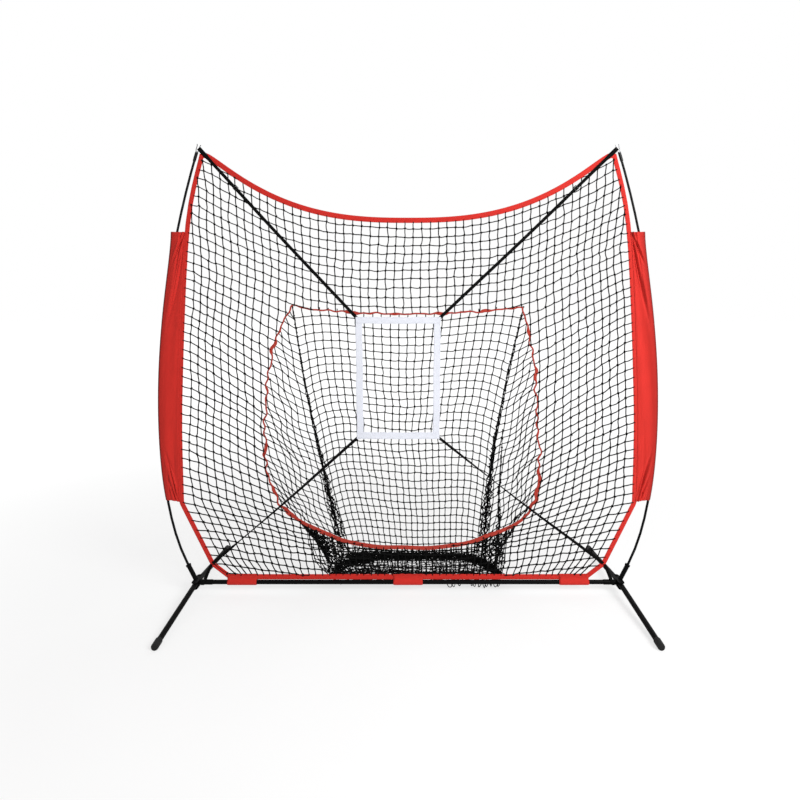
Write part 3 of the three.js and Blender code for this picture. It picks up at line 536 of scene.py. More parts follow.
def column_x(across, z):
    """Where a column of the netting is at a height. It leans in towards the pocket low down."""
    spread = across * (1.06 - 0.06 * across**2)
    inner = BOTTOM_CORNER[0] + (1.13 - BOTTOM_CORNER[0]) * smooth_step(z, 0.05, 0.95)
    share = spread**2
    over = np.maximum(z - CORNER_PULL, 0)
    outer = net_half(np.minimum(z, CORNER_PULL)) + 0.1 * over
    return spread * (outer * share + (inner + 0.05 * over) * (1 - share))


def zone_corner(side):
    """The middle of the strike zone's upper corner on one side, as x and z."""
    inset = ZONE_WEB / 2
    return np.array([ZONE_MIDDLE + side * (ZONE_WIDTH / 2 - inset), ZONE_HEIGHTS[1] - inset])


def pressed_back(flat):
    """How far the net lies back under each upper strap, where its slider runs."""
    pressed = np.zeros(flat.shape[:-1])
    for _, side in SIDES:
        top = STRAP_TOP[[0, 2]] * [side, 1]
        way = unit(zone_corner(side) - top)
        along, beside = (flat - top) @ way, (flat - top) @ [-way[1], way[0]]
        near = smooth_step(along, 0.08, 0.18) * (1 - smooth_step(along, 0.72, 0.82))
        pressed += 0.006 * near * np.exp(-((beside / 0.03) ** 2))
    return pressed


def main_netting(columns, spacing):
    """The knots of the net's square panel, row by row, and some beyond its edges."""
    across = np.linspace(-1, 1, columns + 2)
    across[[0, -1]] *= 1.02
    heights = np.arange(BOTTOM_CORNER[1] - 2 * spacing, NET_TOP, spacing)
    grid = np.zeros((len(heights), len(across), 3))
    for j, side_height in enumerate(heights):
        z, below = np.full(len(across), side_height), min(0, side_height - BOTTOM_CORNER[1])
        for _ in range(8):
            x = column_x(across, z)
            z = row_height(max(side_height, BOTTOM_CORNER[1]), x) + below
        grid[j, :, 0], grid[j, :, 2] = x, z
    flat = grid[..., [0, 2]]
    flat += drift(flat, 21, 0.42, 0.004) + drift(flat, 22, 0.12, 0.0012)
    flat += np.random.default_rng(23).normal(size=flat.shape) * 0.0015
    y = drift(flat, 24, 0.3, 0.0006)[..., 0] + pressed_back(flat)
    return upright(flat[..., 0], y, flat[..., 1])


def panel_outline(grow):
    """The net panel's outline, grown into its bindings."""
    top = np.linspace(-CORNER_X, CORNER_X, 60)
    upper = np.stack([top, top_edge(top)], axis=1)
    outline = np.vstack([upper, SIDE_EDGE[1:], mirrored(SIDE_EDGE[1:])])
    centre = np.array([0.0, 1.1])
    return centre + (outline - centre) * (1 + grow / centre[1])


# ---- Surface finishes ----
def fed(tree, made, values):
    """The node, with each of its inputs set to a value or linked to a socket."""
    for key, value in values.items():
        if isinstance(value, bpy.types.NodeSocket):
            tree.links.new(value, made.inputs[key])
        else:
            made.inputs[key].default_value = value
    return made


def node(tree, kind, values=None, **settings):
    """A new shader node with its settings and its inputs."""
    made = tree.nodes.new(kind)
    for key, value in settings.items():
        setattr(made, key, value)
    return fed(tree, made, values or {})


def maths(tree, operation, *values):
    return node(tree, "ShaderNodeMath", dict(enumerate(values)), operation=operation).outputs[0]


def times(tree, one, other):
    """Two values multiplied."""
    return maths(tree, "MULTIPLY", one, other)


def plus_times(tree, value, factor, more):
    """The value times a factor, with more added to it."""
    return maths(tree, "MULTIPLY_ADD", value, factor, more)


def ripples(tree, value, turn):
    """Even waves along a value, which turns by so many radians for each metre."""
    return maths(tree, "SINE", times(tree, value, turn))


def mixed(tree, factor, one, other):
    """The first colour where the factor is 0 and the other where it is 1."""
    values = {0: factor, 6: one, 7: other}
    return node(tree, "ShaderNodeMix", values, data_type="RGBA").outputs[2]


def shades(tree, value, low, high):
    """A value stretched so that low becomes 0 and high becomes 1."""
    values = {"Value": value, "From Min": low, "From Max": high}
    return node(tree, "ShaderNodeMapRange", values, clamp=True).outputs["Result"]


def noise(tree, place, scale, detail):
    values = {"Vector": place, "Scale": scale, "Detail": detail}
    return node(tree, "ShaderNodeTexNoise", values).outputs[0]


def split(tree, place):
    """The three measures of a place, each as a socket."""
    return node(tree, "ShaderNodeSeparateXYZ", {0: place}).outputs


def plain(colour):
    """A colour with an alpha of 1."""
    return (*colour, 1)


def grey(shade):
    return (shade, shade, shade)


def seen_directly(tree):
    """1 where the camera, a reflection or clear plastic shows the surface, otherwise 0."""
    path = node(tree, "ShaderNodeLightPath").outputs
    bounced = maths(tree, "MAXIMUM", path["Is Glossy Ray"], path["Is Transmission Ray"])
    return maths(tree, "MAXIMUM", path["Is Camera Ray"], bounced)


def effect(name, inputs, outputs):
    """A new node group with named inputs and outputs: its tree, its inputs and its end node."""
    tree = bpy.data.node_groups.new(name, "ShaderNodeTree")
    tree.interface.new_socket("Place", in_out="INPUT", socket_type="NodeSocketVector")
    for label, value in inputs:
        kind = "Color" if isinstance(value, tuple) else "Float"
        socket = tree.interface.new_socket(label, in_out="INPUT", socket_type="NodeSocket" + kind)
        socket.default_value = value
    for label in outputs:
        kind = "Color" if label == "Colour" else "Float"
        tree.interface.new_socket(label, in_out="OUTPUT", socket_type="NodeSocket" + kind)
    return tree, tree.nodes.new("NodeGroupInput").outputs, tree.nodes.new("NodeGroupOutput")


def plain_weave():
    """Threads over and under each other, with slubs and slight fading."""
    colours = [("Colour", (0.6, 0.05, 0.03, 1)), ("Shade", (0.35, 0.02, 0.02, 1))]
    inputs = [("Threads", 1400.0), *colours, ("Fading", 0.25)]
    tree, given, end = effect("plain_weave", inputs, ["Colour", "Height"])
    apart = split(tree, given["Place"])
    turn = times(tree, given["Threads"], math.pi)
    crossed = times(tree, ripples(tree, apart["X"], turn), ripples(tree, apart["Y"], turn))
    over = plus_times(tree, crossed, 0.5, 0.5)
    slub = noise(tree, given["Place"], 220.0, 3.0)
    cloudy = shades(tree, noise(tree, given["Place"], 7.0, 4.0), 0.35, 0.7)
    threads = mixed(tree, times(tree, over, 0.55), given["Shade"], given["Colour"])
    body = mixed(tree, 0.6, threads, given["Colour"])
    faded = mixed(tree, times(tree, cloudy, given["Fading"]), body, given["Shade"])
    fed(tree, end, {"Colour": faded, "Height": plus_times(tree, slub, 0.4, over)})
    return tree


def ribbed_weave():
    """Webbing: slanting ribs that meet along the middle, over fine threads, with painted shade in
    the furrows between the ribs.
    """
    colours = [("Colour", (0.02, 0.02, 0.02, 1)), ("Furrow_shade", (0.005, 0.005, 0.005, 1))]
    inputs = [("Ribs", 520.0), ("Slant", 1.0), *colours]
    tree, given, end = effect("ribbed_weave", inputs, ["Colour", "Height"])
    apart = split(tree, given["Place"])
    fold = maths(tree, "PINGPONG", apart["X"], 0.005)
    slanted = plus_times(tree, fold, given["Slant"], apart["Y"])
    rib = ripples(tree, slanted, times(tree, given["Ribs"], 2 * math.pi))
    across = ripples(tree, apart["X"], 5200.0)
    fine = plus_times(tree, across, 0.12, plus_times(tree, rib, 0.5, 0.5))
    fuzz = noise(tree, given["Place"], 600.0, 2.0)
    # Painted shade: the furrows between the ribs take the darker colour.
    tone = mixed(tree, times(tree, fine, 0.9), given["Furrow_shade"], given["Colour"])
    toned = mixed(tree, times(tree, fuzz, 0.25), tone, given["Colour"])
    fed(tree, end, {"Colour": toned, "Height": plus_times(tree, fuzz, 0.3, fine)})
    return tree


def scuffed():
    """Dust, rubbed patches and fine scratches on a smooth finish."""
    colours = [("Colour", (0.03, 0.03, 0.03, 1)), ("Rubbed", (0.12, 0.12, 0.12, 1))]
    inputs = [*colours, ("Amount", 0.4), ("Roughness", 0.4), ("Grain", 900.0)]
    tree, given, end = effect("scuffed", inputs, ["Colour", "Roughness", "Height"])
    patch = noise(tree, given["Place"], 14.0, 6.0)
    scales = {"Vector": given["Place"], "Scale": (40.0, 260.0, 90.0)}
    scratch = noise(tree, node(tree, "ShaderNodeMapping", scales).outputs[0], 1.0, 5.0)
    rubbed = times(tree, shades(tree, patch, 0.5, 0.75), shades(tree, scratch, 0.5, 0.7))
    amount = times(tree, rubbed, given["Amount"])
    rough = plus_times(tree, shades(tree, patch, 0.3, 0.8), 0.14, given["Roughness"])
    results = {
        "Colour": mixed(tree, amount, given["Colour"], given["Rubbed"]),
        "Roughness": plus_times(tree, amount, 0.3, rough),
        "Height": noise(tree, given["Place"], given["Grain"], 2.0),
    }
    fed(tree, end, results)
    return tree


EFFECTS = {}
FINISHES = {}


def finish(name, roughness, shine=0.5, **shader):
    """A new material and its shader, with the sockets that are the same all over it."""
    FINISHES[name] = bpy.data.materials.new(name)
    FINISHES[name].use_nodes = True
    tree = FINISHES[name].node_tree
    values = {"Roughness": roughness, "Specular IOR Level": shine}
    values.update((key.replace("_", " "), value) for key, value in shader.items())
    return tree, fed(tree, tree.nodes["Principled BSDF"], values)


def grouped(tree, effect_name, **values):
    """The outputs of one of the effects, put to use in a material."""
    return node(tree, "ShaderNodeGroup", values, node_tree=EFFECTS[effect_name]).outputs


def bumped(tree, height, strength, distance):
    values = {"Height": height, "Strength": strength, "Distance": distance}
    return node(tree, "ShaderNodeBump", values).outputs["Normal"]


def weave_place(tree):
    return node(tree, "ShaderNodeUVMap", uv_map="weave").outputs["UV"]


def object_place(tree):
    return node(tree, "ShaderNodeTexCoord").outputs["Object"]


def cloth(name, colour, shade, threads=1400.0, sheen=0.08, depth=0.0003, painted_shade_edge=0.0):
    """A coated plain weave. Painted shade darkens it towards a line across its weave map, the given
    metres in, where a sleeve turns round its pole, with a thin line of darker painted shade on it.
    """
    tree, surface = finish(name, 0.72, shine=0.15, Sheen_Weight=sheen)
    colours = {"Colour": plain(colour), "Shade": plain(shade)}
    place = weave_place(tree)
    weave = grouped(tree, "plain_weave", Place=place, Threads=threads, Fading=0.3, **colours)
    shown = weave["Colour"]
    if painted_shade_edge:
        # Painted shade: darker over the last 6 cm towards the line where the cloth turns round the
        # pole, and much darker within 2 cm of it.
        across = split(tree, weave_place(tree))[0]
        away = maths(tree, "ABSOLUTE", maths(tree, "SUBTRACT", across, painted_shade_edge))
        for darker, near, far in ((0.9, 0.012, 0.06), (0.1, 0.006, 0.02)):
            dark = plain(np.array(shade) * darker)
            shown = mixed(tree, shades(tree, away, near, far), dark, shown)
    normal = bumped(tree, weave["Height"], 0.35, depth)
    fed(tree, surface, {"Base Color": shown, "Normal": normal})


def webbing(name, colour, furrow_shade, ribs=520.0, sheen=0.0):
    """Ribbed webbing, with painted shade in the furrows between its ribs."""
    tree, surface = finish(name, 0.8, shine=0.06, Sheen_Weight=sheen)
    colours = {"Colour": plain(colour), "Furrow_shade": plain(furrow_shade)}
    weave = grouped(tree, "ribbed_weave", Place=weave_place(tree), Ribs=ribs, **colours)
    normal = bumped(tree, weave["Height"], 0.5, 0.0004)
    fed(tree, surface, {"Base Color": weave["Colour"], "Normal": normal})


def coated(name, colour, rubbed, amount, roughness, grain, depth, shine, metallic):
    """A smooth coat with its scuffs, and with a grain that stands up by depth."""
    tree, surface = finish(name, roughness, shine, Metallic=metallic)
    colours = {"Colour": plain(colour), "Rubbed": plain(rubbed)}
    measures = {"Amount": amount, "Roughness": roughness, "Grain": grain}
    worn = grouped(tree, "scuffed", Place=object_place(tree), **colours, **measures)
    normal = bumped(tree, worn["Height"], 0.3, depth)
    sockets = {"Base Color": worn["Colour"], "Roughness": worn["Roughness"], "Normal": normal}
    fed(tree, surface, sockets)


def tipped(name, colour, bare, height):
    """A black coating that ends at a height, above which the metal is bare."""
    tree, surface = finish(name, 0.3, shine=0.15)
    above = shades(tree, split(tree, object_place(tree))[2], height - 0.0005, height + 0.0005)
    shown = mixed(tree, above, plain(colour), plain(bare))
    fed(tree, surface, {"Base Color": shown, "Metallic": above})


def make_finishes():
    """Every material of the net, by name."""
    EFFECTS.update(plain_weave=plain_weave(), ribbed_weave=ribbed_weave(), scuffed=scuffed())
    colours = bpy.context.scene.practice_colours
    red, trim, zone, steel = map(np.array, (colours.red, colours.trim, colours.zone, colours.steel))
    dark = red * 0.62
    # The sleeves' cloth, with painted shade along its edge round the pole, 0.12 m in.
    cloth("red_fabric", red, dark, painted_shade_edge=0.12)
    cloth("red_tape", red * 0.97, dark, threads=1000.0, depth=0.0004)
    cloth("dark_red_fabric", trim, trim * 0.5)
    cloth("red_thread", red * 1.12, dark, threads=2500.0, sheen=0.4)
    # The webbing's darker furrow colours are painted shade.
    webbing("black_webbing", colours.webbing, grey(0.0015))
    webbing("white_webbing", zone, zone * 0.72, ribs=420.0, sheen=0.1)
    cloth("white_thread", zone, zone * 0.8, threads=2500.0)
    tipped("pole_tip", steel * 0.8, (0.09, 0.09, 0.095), 2.234)
    bare, plastic = (0.36, 0.37, 0.38), grey(0.009)
    # Colour, rubbed colour, how much is rubbed, roughness, grain and its depth, shine, metal.
    for name, *measures in (
        ("netting", colours.twine, grey(0.012), 0.8, 0.8, 1600, 0.0006, 0.05, 0),
        ("painted_steel", steel, grey(0.009), 0.3, 0.4, 1100, 0.00012, 0.03, 0),
        ("bare_steel", bare, grey(0.25), 0.6, 0.3, 2200, 0.00006, 0.5, 1),
        ("fibreglass", steel * 0.8, grey(0.012), 0.5, 0.3, 1500, 0.00008, 0.06, 0),
        ("rubber", plastic, (0.03, 0.029, 0.028), 0.7, 0.7, 1300, 0.0003, 0.2, 0),
        ("slide_plastic", plastic, grey(0.03), 0.4, 0.42, 1800, 0.0001, 0.2, 0),
    ):
        coated(name, *measures)


# ---- Settings that a user would change ----
def length_setting(name, default, description):
    return FloatProperty(name=name, description=description, default=default, unit="LENGTH")


def colour_setting(name, default, description):
    return FloatVectorProperty(
        name=name, description=description, default=default, subtype="COLOR"
    )


class PracticeNetting(bpy.types.PropertyGroup):
    """Sizes of the knotted netting."""

    twine: length_setting("Twine", 0.0056, "Thickness of the twine")
    knot: length_setting("Knot", 0.0132, "Width of a tied knot")
    spacing: length_setting("Mesh", 0.0458, "Distance from knot to knot")
    columns: IntProperty(name="Columns", description="Strands across the panel", default=54)
    slack: length_setting("Slack", 0.0011, "How far a strand bends between knots")


class PracticeFabric(bpy.types.PropertyGroup):
    """Sizes of the sewn fabric."""

    cloth: length_setting("Cloth", 0.0011, "Thickness of the sleeve's cloth")
    folds: length_setting("Folds", 0.006, "Height of the sleeve's folds")
    hem: length_setting("Hem", 0.022, "Width of the sleeve's hems")
    stitch: length_setting("Stitch", 0.0045, "Length of one stitch")


class PracticeColours(bpy.types.PropertyGroup):
    """Colours of the net's materials."""

    red: colour_setting("Red cloth", (0.64, 0.026, 0.018), "Sleeves, bindings and tabs")
    trim: colour_setting("Mouth trim", (0.47, 0.045, 0.028), "Tape round the pocket's mouth")
    webbing: colour_setting("Straps", (0.0035, 0.0035, 0.0035), "Black webbing")
    zone: colour_setting("Strike zone", (0.82, 0.84, 0.92), "White webbing")
    twine: colour_setting("Twine", (0.004, 0.004, 0.004), "Netting")
    steel: colour_setting("Frame", (0.003, 0.003, 0.0032), "Painted tubes")


class PracticeStage(bpy.types.PropertyGroup):
    """Camera and lamps."""

    distance: length_setting("Distance", 2.92, "Camera in front of the net")
    height: length_setting("Height", 1.47, "Camera above the floor")
    focal: FloatProperty(name="Focal length", description="Millimetres", default=25.83)
    light: FloatProperty(name="Light", description="Strength of the lamps", default=1.0)


# ---- The pieces ----
class PRACTICE_OT_stage(bpy.types.Operator):
    """Set out the floor, the soft lamps and the camera"""

    bl_idname = "practice.stage"
    bl_label = "Stage"

    def execute(self, context):
        settings = context.scene.practice_stage
        bm = bmesh.new()
        bmesh.ops.create_grid(bm, x_segments=1, y_segments=1, size=40)
        mesh = meshed("floor", bm)
        self.pale_floor()
        mesh.materials.append(FINISHES["pale_floor"])
        self.placed("floor", mesh, (0, 0, 0))
        self.pale_world(context.scene)
        for name, place, size, power in (
            ("key", (3.0, -3.3, 3.2), 2.2, 240),
            ("fill", (-3.4, -2.8, 2.4), 3.0, 12),
            ("back", (0.4, 3.4, 3.4), 3.0, 50),
        ):
            lamp = bpy.data.lights.new(name, "AREA")
            lamp.size, lamp.energy = size, power * settings.light
            holder = self.placed(name, lamp, place)
            holder.rotation_mode = "QUATERNION"
            aim = Vector(np.array([0, 0, 1.1]) - np.array(place))
            holder.rotation_quaternion = aim.to_track_quat("-Z", "Y")
        camera = bpy.data.cameras.new("camera")
        camera.lens, camera.sensor_width = settings.focal, FILM_WIDTH
        camera.shift_x, camera.shift_y = -8 / PHOTO_SIZE, -97 / PHOTO_SIZE
        holder = self.placed("camera", camera, (0, -settings.distance, settings.height))
        holder.rotation_euler = (math.pi / 2, 0, 0)
        context.scene.camera = holder
        context.scene.view_settings.view_transform = "Standard"
        return {"FINISHED"}

    @staticmethod
    def placed(name, data, place):
        """A new object in the scene, at a place."""
        holder = bpy.data.objects.new(name, data)
        bpy.context.scene.collection.objects.link(holder)
        holder.location = place
        return holder

    @staticmethod
    def pale_floor():
        """A pale floor that turns to plain white far from the net."""
        tree, surface = finish("pale_floor", 0.9)
        grain = noise(tree, object_place(tree), 3.0, 3.0)
        shown = mixed(tree, grain, plain(grey(0.86)), plain(grey(0.9)))
        fed(tree, surface, {"Base Color": shown})
        away = node(tree, "ShaderNodeVectorMath", {0: object_place(tree)}, operation="LENGTH")
        far = shades(tree, away.outputs["Value"], 1.6, 4.5)
        glow = node(tree, "ShaderNodeEmission", {"Color": plain(grey(1)), "Strength": 1.08})
        share = times(tree, seen_directly(tree), plus_times(tree, far, 0.35, 0.65))
        blend = {0: share, 1: surface.outputs[0], 2: glow.outputs[0]}
        surface_out = node(tree, "ShaderNodeMixShader", blend).outputs[0]
        fed(tree, tree.nodes["Material Output"], {"Surface": surface_out})

    @staticmethod
    def pale_world(scene):
        """White all round, which lights the net less than it shows."""
        scene.world = bpy.data.worlds.new("studio")
        scene.world.use_nodes = True
        tree = scene.world.node_tree
        strength = plus_times(tree, seen_directly(tree), 0.65, 0.35)
        fed(tree, tree.nodes["Background"], {"Color": plain(grey(1)), "Strength": strength})


class PRACTICE_OT_finishes(bpy.types.Operator):
    """Make the materials and give the frame's own solids theirs"""

    bl_idname = "practice.finishes"
    bl_label = "Finishes"

    def execute(self, context):
        make_finishes()
        for part in frame["record"]["subparts"]:
            name, finish_name = part["node"], part["material_slot"]
            if name.endswith(("leg_rivet", "pole_ferrule")):
                finish_name = "painted_steel"
            if name.endswith("pole_tip"):
                finish_name = "pole_tip"
            solid = frame["nodes"][name]
            solid.data.materials.clear()
            solid.data.materials.append(FINISHES[finish_name])
        return {"FINISHED"}


class PRACTICE_OT_netting(bpy.types.Operator):
    """Knot the net's square panel round the pocket's mouth"""

    bl_idname = "practice.netting"
    bl_label = "Netting"

    def execute(self, context):
        sizes = context.scene.practice_netting
        grid = main_netting(sizes.columns, sizes.spacing)
        outline = panel_outline(0.007)

        def on_panel(points):
            flat = np.atleast_2d(points)[:, [0, 2]]
            return inside(flat, outline) & ~inside(flat, MOUTH[:-1])

        kept = on_panel(grid.reshape(-1, 3)).reshape(grid.shape[:2])
        runs = clipped(grid, kept, lambda point: bool(on_panel(point)[0]))
        fields = ("net_top", "net_bottom", "net_left", "net_right")
        netting_piece("netting", runs, grid[kept], 31, fields)
        return {"FINISHED"}


def mouth_side(side):
    """One side of the mouth from its top corner down to the pocket's floor, as a right side."""
    loop = MOUTH if side > 0 else mirrored(MOUTH)
    x, z = loop[:, 0], loop[:, 1]
    corner = int(np.argmin(np.hypot(x - MOUTH_TOP[0], z - MOUTH_TOP[1])))
    low = corner + int(np.argmax((x[corner:] < POCKET_SIDE) & (z[corner:] < POCKET_LOW)))
    return upright(x[corner : low + 1], 0.002, z[corner : low + 1])


# How far each side's rear seam is pulled out, at quarters of its length.
SEAM_PULL = {-1: (0, 0.006, -0.004, -0.019, -0.048), 1: (0, -0.021, -0.029, -0.01, 0.014)}


def rear_seam(side, shares):
    """The seam behind the mouth's side, where the pocket's back and side nets meet."""
    line = SEAM_TOP + (SEAM_LOW - SEAM_TOP) * shares[..., None]
    line[..., 0] += np.interp(shares, (0, 0.25, 0.5, 0.75, 1), SEAM_PULL[side])
    return line * [side, 1, 1]


def along_line(line, shares):
    """The points of a line at shares of its length."""
    reach = reach_along(line)
    return looked_up(shares * reach[-1], reach, line)


def kept_within(grid, front, back, low):
    """Moves a grid's points in between two upright planes, and up to a height at least."""
    grid[..., 1] = np.clip(grid[..., 1], front, back)
    grid[..., 2] = np.maximum(grid[..., 2], low)


# The slack's bunches: points along each, its half width and height there, and its strands.
ROLL = (
    ((-0.34, 0.3, 0.04), (-0.2, 0.345, 0.034), (0, 0.35, 0.034), (0.2, 0.345, 0.034))
    + ((0.36, 0.31, 0.034), (0.445, 0.235, 0.028), (0.485, 0.15, 0.016)),
    ((0.045, 0.036), (0.03, 0.024), (0.026, 0.019), (0.028, 0.02), (0.034, 0.024), (0.03, 0.014)),
    28,
)
LEFT_TURN = (
    ((-0.385, 0.17, 0.03), (-0.36, 0.22, 0.05), (-0.3, 0.27, 0.045), (-0.2, 0.31, 0.03)),
    ((0.022, 0.02), (0.036, 0.034), (0.045, 0.03), (0.03, 0.015)),
    22,
)
LEFT_FALL = (
    ((-0.485, 0.03, 0.3), (-0.435, 0.1, 0.2), (-0.39, 0.16, 0.1), (-0.36, 0.19, 0.03)),
    ((0.03, 0.016), (0.046, 0.026), (0.055, 0.034), (0.044, 0.02)),
    10,
)
RIGHT_FALL = (
    ((0.45, 0.01, 0.26), (0.45, 0.07, 0.16), (0.453, 0.11, 0.07), (0.46, 0.15, 0.02)),
    ((0.055, 0.02), (0.06, 0.03), (0.055, 0.03), (0.04, 0.014)),
    6,
)
# Where loops of slack hang behind the base bar, measured from the middle.
HANGING_LOOPS = (0.215, 0.235, 0.262, 0.33, 0.342, 0.365, 0.392, 0.402, 0.425, 0.45, 0.462)


class PRACTICE_OT_pocket(bpy.types.Operator):
    """Knot the pocket's back, its two sides, their gathered seams and the slack heap below"""

    bl_idname = "practice.pocket"
    bl_label = "Pocket"

    def execute(self, context):
        spacing = context.scene.practice_netting.spacing
        self.back()
        for word, side in SIDES:
            self.side_net(spacing, word, side)
        self.floor_heap()
        return {"FINISHED"}

    @staticmethod
    def back():
        """The sloping back panel. Its rows hang from the top and droop to both seams."""
        columns, rows = 27, 33
        across = np.linspace(-1, 1, columns)[None, :]
        high = np.linspace(1, 0.02, rows)[:, None]
        left, right = (rear_seam(side, 1 - high[:, 0]) for _, side in SIDES)
        grid = left[:, None] + (right - left)[:, None] * (across[..., None] + 1) / 2
        down = (SEAM_LOW - SEAM_TOP) * [0, 1, 1] / SEAM_LENGTH
        middle = (0.62 + 0.38 * high) * np.cos(0.5 * np.pi * np.minimum(np.abs(across) / 0.82, 1))
        free = np.sin(np.pi * high) ** 0.6
        droop = MOUTH_TOP_SAG * 1.15 * middle**1.5 + 0.075 * np.abs(across) ** 6 * free
        skewed = 0.03 * across * free * (1 - high)
        grid += down * (droop - 0.02 * free + skewed)[..., None]
        grid[..., 1] += 0.012 * np.sin(np.pi * high) * (1 - across**2)
        loose = np.sin(np.pi * high)[..., None] * (1 - np.abs(across))[..., None] ** 0.3
        move = drift(grid, 41, 0.35, 0.007) + drift(grid, 42, 0.1, 0.0032)
        grid += move * loose * [1, 0.4, 1]
        under = grid[-1:] + np.array([0, -0.03, -0.002]) * np.arange(1, 4)[:, None, None]
        under += drift(under, 44, 0.09, 0.006)
        grid = np.concatenate([grid, under])  # the last rows lie forward, under the roll
        kept_within(grid, 0.0035, POCKET_BACK, 0.004)
        runs, knots = [*grid[1:], *grid.swapaxes(0, 1)], grid[1:].reshape(-1, 3)
        netting_piece("pocket_back_net", runs, knots, 43, ("pocket_back",), 0.93)

    def side_net(self, spacing, word, side):
        """A wedge of net from the mouth's edge to the back panel, gathered along its rear seam."""
        mouth = mouth_side(side)
        seam = rear_seam(side, np.linspace(0, 1, 41)) * [side, 1, 1]
        rows = int(SEAM_LENGTH / spacing)
        fall = 0.14  # the rows run down from the mouth to the seam
        last = 1 / (1 - fall)
        floor_corner = np.array([0.4 if side < 0 else 0.46, 0.05, 0.05])

        def ends(share):
            """Where a row meets the seam, or runs out on the floor, and where the mouth."""
            back = along_line(seam, min(1.0, share))
            back = back + (floor_corner - back) * (max(0.0, share - 1) / (last - 1))
            return back, along_line(mouth, min(1.0, share * (1 - fall)))

        def row(share, back, edge, width):
            """A row's knots, from the seam to the mouth's edge."""
            part = [min(1.0, k * pitch / max(width, TINY)) for k in range(int(width / pitch) + 1)]
            part = np.array([*part, 1.0])
            points = back + (edge - back) * part[:, None]
            points[:, 2] -= 0.02 * np.sin(np.pi * part) * min(1.0, share)
            free = np.sin(np.linspace(0, np.pi, len(points)))[:, None]
            moved = drift(points, 55, 0.3, 0.009) + drift(points, 56, 0.09, 0.004)
            return points + moved * free

        pitch = spacing * 1.2
        shares = [(i + 0.5) / rows for i in range(1, rows)] + list(np.linspace(1.01, last, 8))
        runs, knots = [], []
        columns = [[] for _ in range(int(0.75 / pitch))]
        for share in shares:
            back, edge = ends(share)
            width = np.linalg.norm(edge - back)
            if width < 0.01:
                continue
            line = row(share, back, edge, width)
            runs.append(line)
            knots += list(line[:-1])
            for column, knot in zip(columns, line[:-1]):
                column.append((share, knot))
        for column in columns:
            if len(column) > 2:
                start = max(0, column[0][0] * (1 - fall) - 0.5 / rows)
                runs.append(np.array([along_line(mouth, start)] + [knot for _, knot in column]))
        draw = np.random.default_rng(50 + side)
        gathers = [self.gather(seam, rows * 2, draw)]
        if side > 0:
            fold = rounded_through([(0.515, 0.2, 0.78), (0.495, 0.2, 0.4), (0.487, 0.19, 0.03)], 20)
            gathers.append(self.gather(fold, rows, draw, 0.55, 4))
        for gathered, gathered_knots in gathers:
            runs += gathered
            knots += gathered_knots
        flip = np.array([side, 1, 1])
        runs, knots = [np.asarray(run) * flip for run in runs], np.array(knots) * flip
        netting_piece(f"pocket_{word}_net", runs, knots, 57 + side, (f"pocket_{word}",), 0.88)

    @staticmethod
    def gather(seam, rows, draw, fullness=1.0, strands=7):
        """Netting bunched along a seam: one strand high up, and more of them lower down."""
        share = np.linspace(0.0, 0.985, rows)
        middle = along_line(seam, share)
        starts = (0, 6, 16, 20, 24, 27, 29)[:strands]
        grid = np.zeros((rows, strands, 3))
        radius = fullness * (0.0008 + 0.026 * share**2.2)
        for k in range(strands):
            angle = 2 * np.pi * k / strands + 2.6 * share * (1 if k % 2 else -1)
            around = upright(radius * np.cos(angle), radius * 0.8 * np.sin(angle), 0 * angle)
            grid[:, k] = middle + around
            grid[:, k] += draw.normal(size=(rows, 3)) * (0.0006 + 0.007 * share**1.6)[:, None]
        kept_within(grid, 0.004, POCKET_BACK, 0.004)
        runs, knots = [], []
        for k, start in enumerate(starts):
            first = start * rows // 40
            runs.append(grid[first:, k])
            knots += list(grid[first::2, k])
            if k:
                low = range(first + k % 2, rows - 1, 2)
                runs += [np.array([grid[j, k - 1], grid[j + 1, k]]) for j in low]
        return runs, knots

    def floor_heap(self):
        """The net that falls from the mouth's lower edge, and the roll that it is bunched into."""
        draw = np.random.default_rng(71)
        runs, knots = self.curtain(draw)
        runs += self.loops(np.random.default_rng(72))
        for line, widths, strands in (ROLL, LEFT_TURN, LEFT_FALL, RIGHT_FALL):
            found, tied = self.bunch(line, np.array(widths), strands, draw)
            runs += found
            knots.append(tied)
        knots = np.vstack(knots)
        netting_piece("pocket_floor_net", runs, knots, 66, ("pocket_floor",), 0.76, 4)

    @staticmethod
    def curtain(draw):
        """The slack below the mouth: down to the ground, then back over it under the roll."""
        low = MOUTH[(np.abs(MOUTH[:, 0]) < 0.53) & (MOUTH[:, 1] < POCKET_LOW)]
        low = low[np.argsort(low[:, 0])]
        runs, knots = [], []
        layers = ((0.34, 14, 41, 0.005, 61), (0.18, 7, 26, 0.009, 64))
        for depth, rows, columns, rough, seed in layers:
            across = np.linspace(-1, 1, columns)
            lip_x = across * 0.51 - 0.006
            lip = np.interp(lip_x, low[:, 0], low[:, 1])
            foot_x = np.where(across < 0, across * 0.385, across * 0.475)
            down = np.linspace(0, 1, rows)[:, None]
            ease = smooth_step(down, 0.0, 0.5)
            x = lip_x * (1 - ease) + foot_x * ease
            y = 0.003 + depth * (1 - 0.25 * across**4) * down**1.1
            z = 0.01 + (lip - 0.01) * np.exp(-down * 5.5) * (1 - smooth_step(down, 0.3, 0.8))
            grid = upright(x, y, z)
            free = smooth_step(down, 0.02, 0.3)[..., None]
            grid += drift(grid, seed, 0.12, rough) * free
            grid += draw.normal(size=grid.shape) * (0.0026 * free)
            grid[1::2, ::2, 1] += 0.0045
            grid[1::2, 1::2, 1] -= 0.0045
            kept_within(grid, 0.0045, HEAP_BACK, HEAP_LOW)
            grid[0, :, 2], grid[0, :, 1] = lip, 0.002
            runs += [*grid[1:], *grid.swapaxes(0, 1)]
            knots.append(grid[1:].reshape(-1, 3))
        return runs, knots

